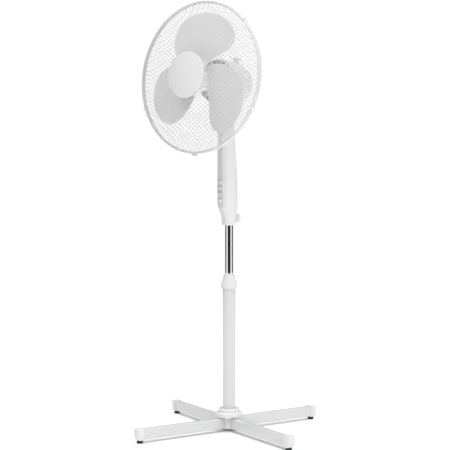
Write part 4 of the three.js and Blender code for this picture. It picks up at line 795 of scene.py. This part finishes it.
# Clutch knob: a white moulding on a stem through the rear cover. Pulled up, it stops the head's swing.
# It tapers down to its stem and has fine grips.
KNOB_LOW, KNOB_HIGH, STEM_LOW = 61, 80, 8.5


def clutch_grips(profile, angle):
    """Fine grooves round the knob's broad part, below its soft top edge."""
    rim = np.clip((profile[:, :1] - 7) / 3, 0, 1) * (profile[:, 1:] < KNOB_HIGH - 2.5)
    return -0.45 * rim * (0.5 - 0.5 * np.cos(24 * angle)) ** 2


seat(loose("clutch_knob_moulding", turned(filleted([
    (0, STEM_LOW, 0), (3, STEM_LOW, 0.4), (3, KNOB_LOW, 0.3), (7, KNOB_LOW, 1), (8.6, KNOB_LOW + 9.5, 4),
    (11, KNOB_HIGH - 6, 1.5), (11, KNOB_HIGH, 2.6), (0, KNOB_HIGH, 0)], 6), clutch_place, 144,
    reach=clutch_grips)), plastic, "clutch_knob")

# Blade: one grey moulding, a hub and three broad twisted paddles with round tips. Each paddle's half
# width in angle falls as the square root of one minus the cube of the way out to the tip.
HUB, HUB_BACK, HUB_FRONT, HUB_HOLLOW, SHAFT_BORE = 36, 112, 158, 6, 4.3
TIP, SWELL, THICK, MIDDLE, TWIST = 187, 66, 2.6, 136, 31

grey = Finish("GreyMouldedPlastic", "grey_plastic", Specular_IOR_Level=0.4)
flow = grey.noise(26, 4)
tooth = grey.noise(1300, 3)
# The grey is painted lighter round the hub: a painted highlight, full within 34 mm of the hub's middle and gone
# beyond 60 mm. Random flow marks and a fine tooth vary the roughness.
hub_middle = tuple((motor_centre + (HUB_BACK + HUB_FRONT) / 2 * ahead) * MM)
away = grey.node("VectorMath", {"operation": "DISTANCE"}, {0: grey.place, 1: hub_middle}, 1)
core = grey.node("MapRange", None, {"Value": away, "From Min": 0.06, "From Max": 0.034})
grey.set(Base_Color=grey.shade(core, (0.75, 0.75, 0.752), (0.87, 0.87, 0.872)),
         Roughness=0.38 + 0.1 * flow + 0.1 * tooth)
grey.relief(tooth, 0.00008)


def paddle(turn):
    """Rows run out from inside the hub; each goes round the paddle's section as c = cos q across it and
    the half thickness times |sin q|^0.4. The paddle sweeps back and rises forward with the angle."""
    root = (HUB - 4 - SWELL) / (TIP - SWELL)
    way = (root + (1 - root) * np.sin(np.linspace(0, math.pi / 2, 46)))[:, None]
    radius = SWELL + way * (TIP - SWELL)
    q = np.linspace(0, 2 * math.pi, 72, endpoint=False)
    centre = np.radians(83 + 20 * (1 - way) ** 2)
    spread = math.radians(47) * np.sqrt(np.clip(1 - np.clip(way, 0, 1) ** 3, 0, 1))
    angle = centre + spread * np.cos(q)
    thickness = THICK / 2 * np.sqrt(np.clip(1 - np.clip(way, 0, 1) ** 14, 0, 1))
    forward = MIDDLE + TWIST * (angle - math.radians(85)) * np.sqrt(radius / 150) \
        + thickness * np.sign(np.sin(q)) * np.abs(np.sin(q)) ** 0.4
    skin = MOTOR(radius * np.cos(angle + turn), radius * np.sin(angle + turn), forward)
    return closed_ends(skin), False


blade = loose("blade_moulding", turned(filleted([
    (SHAFT_BORE, HUB_BACK + HUB_HOLLOW, 0.3), (HUB - 4, HUB_BACK + HUB_HOLLOW, 0.5),
    (HUB - 2.5, HUB_BACK, 0.5), (HUB, HUB_BACK, 0.5), (HUB, HUB_FRONT, 11),
    (SHAFT_BORE, HUB_FRONT, 0.5)], 8), MOTOR, 144, closed=True))
carve(blade, "UNION", *[loose(f"paddle_{k}", paddle(2 * math.pi * k / 3)) for k in range(3)])
seat(blade, grey, "fan_blade", crease=50)

# Spinner nut: a round cap nut moulded in the blade's grey plastic. It screws on the shaft's end and
# holds the blade there.
SPINNER_RADIUS, SPINNER_LENGTH, SPINNER_FLOOR = 13, 12, 7
spinner_back = HUB_FRONT + FIT
seat(loose("spinner_moulding", turned(filleted([
    (SHAFT_BORE, spinner_back, 0.3), (SPINNER_RADIUS, spinner_back, 0.5),
    (SPINNER_RADIUS, spinner_back + SPINNER_LENGTH, 3.5), (0, spinner_back + SPINNER_LENGTH, 0),
    (0, spinner_back + SPINNER_FLOOR, 0), (SHAFT_BORE, spinner_back + SPINNER_FLOOR, 0)], 6), MOTOR, 72)),
    grey, "spinner_nut")

# Guards: two domes of fine steel wire, welded where the wires cross at a steep angle, coated white.
# Each has a ring at its rim; the front one a plate under the hub cap, the rear one a plate on the motor.
RIM_SEAM, DOME_RADIUS, RIM_RING_RADIUS, RIM_WIRE = 138.5, 214.3, 215.6, 2.1
FRONT_DOME, REAR_DOME, RIM_OFFSET = 59, 66, 2.25
WIRE, WIRE_ANGLE, WIRE_PITCH, WIRE_COUNT = 0.62, math.radians(37), 9.7, 22
WIRE_POINTS, WIRE_SIDES = 26, 5
FRONT_PLATE, REAR_PLATE, PLATE_THICK, REAR_PLATE_THICK = 64, 40, 3, 5.9


def dome_wires(height, facing, gap):
    """Wires that look straight from the front: a point t along a wire and o off the centre stands at
    height times the root of 1 - (t^2 + o^2) / R^2 off the rim. One layer lies outside the other. A wire
    that meets the centre plate is two wires."""
    wires = []
    for layer, slope in ((0.5, WIRE_ANGLE), (-0.5, -WIRE_ANGLE)):
        offset = (np.arange(-WIRE_COUNT, WIRE_COUNT + 1) * WIRE_PITCH)[:, None]
        offset = offset[np.abs(offset[:, 0]) < DOME_RADIUS - 3]
        reach = np.sqrt(DOME_RADIUS ** 2 - offset ** 2)
        clear = np.sqrt(np.clip(gap ** 2 - offset ** 2, 0, None))
        first = np.arcsin(clear / reach)
        split = clear[:, 0] > 0
        s = np.linspace(0, 1, WIRE_POINTS)
        whole = (s * 2 - 1) * math.pi / 2 + 0 * offset
        out = first + s * (math.pi / 2 - first)
        for phase, off, span in ((whole[~split], offset[~split], reach[~split]),
                                 (out[split], offset[split], reach[split]),
                                 (-out[split], offset[split], reach[split])):
            t = span * np.sin(phase)
            rise = height * np.sqrt(np.clip(1 - (t ** 2 + off ** 2) / DOME_RADIUS ** 2, 0, 1))
            forward = RIM_SEAM + facing * (RIM_OFFSET + rise + 2 * layer * WIRE)
            x = t * math.cos(slope) - off * math.sin(slope)
            y = t * math.sin(slope) + off * math.cos(slope)
            line = np.stack([x, y, forward], -1)
            along = np.gradient(line, axis=1)
            along /= np.linalg.norm(along, axis=2, keepdims=True)
            beside = np.array([-math.sin(slope), math.cos(slope), 0.0])
            above = np.cross(along, beside)
            q = np.linspace(0, 2 * math.pi, WIRE_SIDES, endpoint=False)[:, None]
            girth = np.ones(WIRE_POINTS)
            girth[[0, -1]] = 0
            girth = WIRE * girth[:, None, None]
            ring = line[:, :, None] + girth * (np.cos(q) * beside + np.sin(q) * above[:, :, None])
            wires += [(MOTOR(wire[..., 0], wire[..., 1], wire[..., 2]), False) for wire in ring]
    return wires


def ring_wire(radius, forward, thickness):
    """A ring of round wire, its section a circle."""
    a = np.linspace(0, 2 * math.pi, 12, endpoint=False)
    return turned(np.stack([radius + thickness * np.cos(a), forward + thickness * np.sin(a)], 1), MOTOR, 144,
                  closed=True)


plate_top = FRONT_DOME * math.sqrt(1 - (FRONT_PLATE / DOME_RADIUS) ** 2) + 2.5
front_top = RIM_SEAM + plate_top
front = [ring_wire(RIM_RING_RADIUS, RIM_SEAM + 0.15 + RIM_WIRE, RIM_WIRE),
         turned(filleted([(0, front_top - PLATE_THICK, 0), (FRONT_PLATE, front_top - PLATE_THICK, 0.8),
                          (FRONT_PLATE, front_top, 0.8), (0, front_top, 0)]), MOTOR, 144)]
seat(loose("front_guard_wires", *front, *dome_wires(FRONT_DOME, 1, FRONT_PLATE - 3)), paint, "front_guard")

rear_plate = MOTOR_FRONT + FIT
rear = [ring_wire(RIM_RING_RADIUS, RIM_SEAM - 0.15 - RIM_WIRE, RIM_WIRE),
        turned(filleted([(BOSS_RADIUS + FIT, rear_plate, 0.4), (REAR_PLATE, rear_plate, 0.8),
                         (REAR_PLATE, rear_plate + REAR_PLATE_THICK, 0.8),
                         (BOSS_RADIUS + FIT, rear_plate + REAR_PLATE_THICK, 0.4)]), MOTOR, 96, closed=True)]
seat(loose("rear_guard_wires", *rear, *dome_wires(REAR_DOME, -1, REAR_PLATE - 3)), paint, "rear_guard")

# Guard nut: a low ring nut moulded in white plastic, with eight grips, screwed on the motor's boss
# against the rear guard.
GUARD_NUT, GUARD_NUT_FACE, GUARD_NUT_HEIGHT, GRIPS = 30, 25, 7, 8
nut_back = rear_plate + REAR_PLATE_THICK + FIT


def nut_grips(profile, angle):
    """Eight rounded hollows that fade out inwards from the rim."""
    rim = np.clip((profile[:, :1] - 22) / 8, 0, 1)
    return -2.2 * rim * (0.5 - 0.5 * np.cos(GRIPS * angle)) ** 2


seat(loose("guard_nut_moulding", turned(filleted([
    (BOSS_RADIUS + FIT, nut_back, 0.4), (GUARD_NUT, nut_back, 0.6), (GUARD_NUT, nut_back + 4.2, 1.6),
    (GUARD_NUT_FACE, nut_back + GUARD_NUT_HEIGHT, 1.6),
    (BOSS_RADIUS + FIT, nut_back + GUARD_NUT_HEIGHT, 0.4)]),
    MOTOR, 128, closed=True, reach=nut_grips)), plastic, "guard_nut")

# Hub cap: a low dome moulded in white plastic, snapped on the front guard's plate, with a soft edge and
# one shallow groove.
CAP_RADIUS, CAP_RISE, CAP_EDGE, GROOVE, GROOVE_RADIUS = 66, 8, 3, 0.35, 59.5
cap_back = front_top + 0.7
r = np.concatenate([[CAP_RADIUS], CAP_RADIUS - 1.2 * (1 - np.cos(quarter[1:])),
                    np.linspace(CAP_RADIUS - 2, 0, 60)])
h = cap_back + CAP_RISE - (CAP_RISE - CAP_EDGE) * (r / CAP_RADIUS) ** 2 \
    - GROOVE * np.exp(-((r - GROOVE_RADIUS) / 0.7) ** 2)
h[:6] = cap_back + CAP_EDGE - 1.4 + 1.4 * np.sin(quarter)
cap_profile = np.concatenate([[(0, cap_back), (CAP_RADIUS, cap_back)], np.stack([r, h], 1)])
seat(loose("hub_cap_moulding", turned(cap_profile, MOTOR, 144)), plastic, "hub_cap")

# Rim band: a thin channel that holds both rim rings together, drawn tight by a screw through two lugs
# at the bottom. Four clips sit over it.
GUARD_RADIUS, LIP, BAND_WALL, BAND_HALF, BAND_GAP = 220, 214.6, 1.3, 5.85, 0.4
BAND_INSIDE = GUARD_RADIUS - 1.9
channel = filleted([
    (LIP, RIM_SEAM - BAND_HALF, 0.3), (GUARD_RADIUS, RIM_SEAM - BAND_HALF, 2.0),
    (GUARD_RADIUS, RIM_SEAM + BAND_HALF, 2.0), (LIP, RIM_SEAM + BAND_HALF, 0.3),
    (LIP, RIM_SEAM + BAND_HALF - BAND_WALL, 0.3), (BAND_INSIDE, RIM_SEAM + BAND_HALF - BAND_WALL, 0.8),
    (BAND_INSIDE, RIM_SEAM - BAND_HALF + BAND_WALL, 0.8), (LIP, RIM_SEAM - BAND_HALF + BAND_WALL, 0.3)])
sweep = np.radians(-90 + BAND_GAP + (360 - 2 * BAND_GAP) * np.linspace(0, 1, 240))
arc = MOTOR(channel[:, 0] * np.cos(sweep[:, None]), channel[:, 0] * np.sin(sweep[:, None]), channel[:, 1])
LUG_OUT, LUG_HALF = 225, 4


def band_lug(start, end):
    """A flat lug below the band, between two places across the head."""
    line = box_outline(-LUG_OUT, -GUARD_RADIUS + 0.8, RIM_SEAM - LUG_HALF, RIM_SEAM + LUG_HALF, 1.5)
    middle = np.tile(line.mean(0), (len(line), 1))
    return loose("lug", (carried([middle, line, line, middle], [start, start, end, end],
                                 Place(motor_centre, across, up, ahead)), False))


band_piece = loose("rim_band", (closed_ends(arc), False))
carve(band_piece, "UNION", band_lug(1.6, 6), band_lug(-6, -1.6))
seat(band_piece, paint, "guard_band")
carry_over(steel, "band_screw")

# Clips: four small saddles moulded in white plastic, sprung over the band so that they hook it on both
# sides.
CLIP_ANGLES, CLIP_WIDTH, CLIP_WALL, CLIP_CLEAR, CLIP_HOOK = (132, 48, -24, -156), 9, 1.6, 0.3, 4
for number, angle in enumerate(CLIP_ANGLES, 1):
    a = math.radians(angle)
    out = math.cos(a) * across + math.sin(a) * up
    inner_half, outer_half = BAND_HALF + CLIP_CLEAR, BAND_HALF + CLIP_CLEAR + CLIP_WALL
    low_r, top_r = GUARD_RADIUS - CLIP_HOOK, GUARD_RADIUS + CLIP_CLEAR
    section = filleted([(low_r, -outer_half, 0.4), (top_r + CLIP_WALL, -outer_half, 1.5),
                        (top_r + CLIP_WALL, outer_half, 1.5), (low_r, outer_half, 0.4),
                        (low_r, inner_half, 0.3),
                        (top_r, inner_half, 0.6), (top_r, -inner_half, 0.6), (low_r, -inner_half, 0.3)], 4)
    section = section + [0, RIM_SEAM]
    saddle_place = Place(motor_centre, np.cross(ahead, out), out, ahead)
    stations = CLIP_WIDTH * np.array([-0.5, -0.46, 0.46, 0.5])
    core = section.mean(0)
    shapes = [core + (section - core) * share for share in (0.985, 1, 1, 0.985)]
    grid = carried(shapes, stations, saddle_place)
    clip = loose(f"rim_clip_{number}", (grid, False))
    work = bmesh.new()
    work.from_mesh(clip.data)
    bmesh.ops.holes_fill(work, edges=[e for e in work.edges if e.is_boundary], sides=0)
    bmesh.ops.recalc_face_normals(work, faces=work.faces)
    work.to_mesh(clip.data)
    work.free()
    seat(clip, plastic, f"guard_clip_{number}")
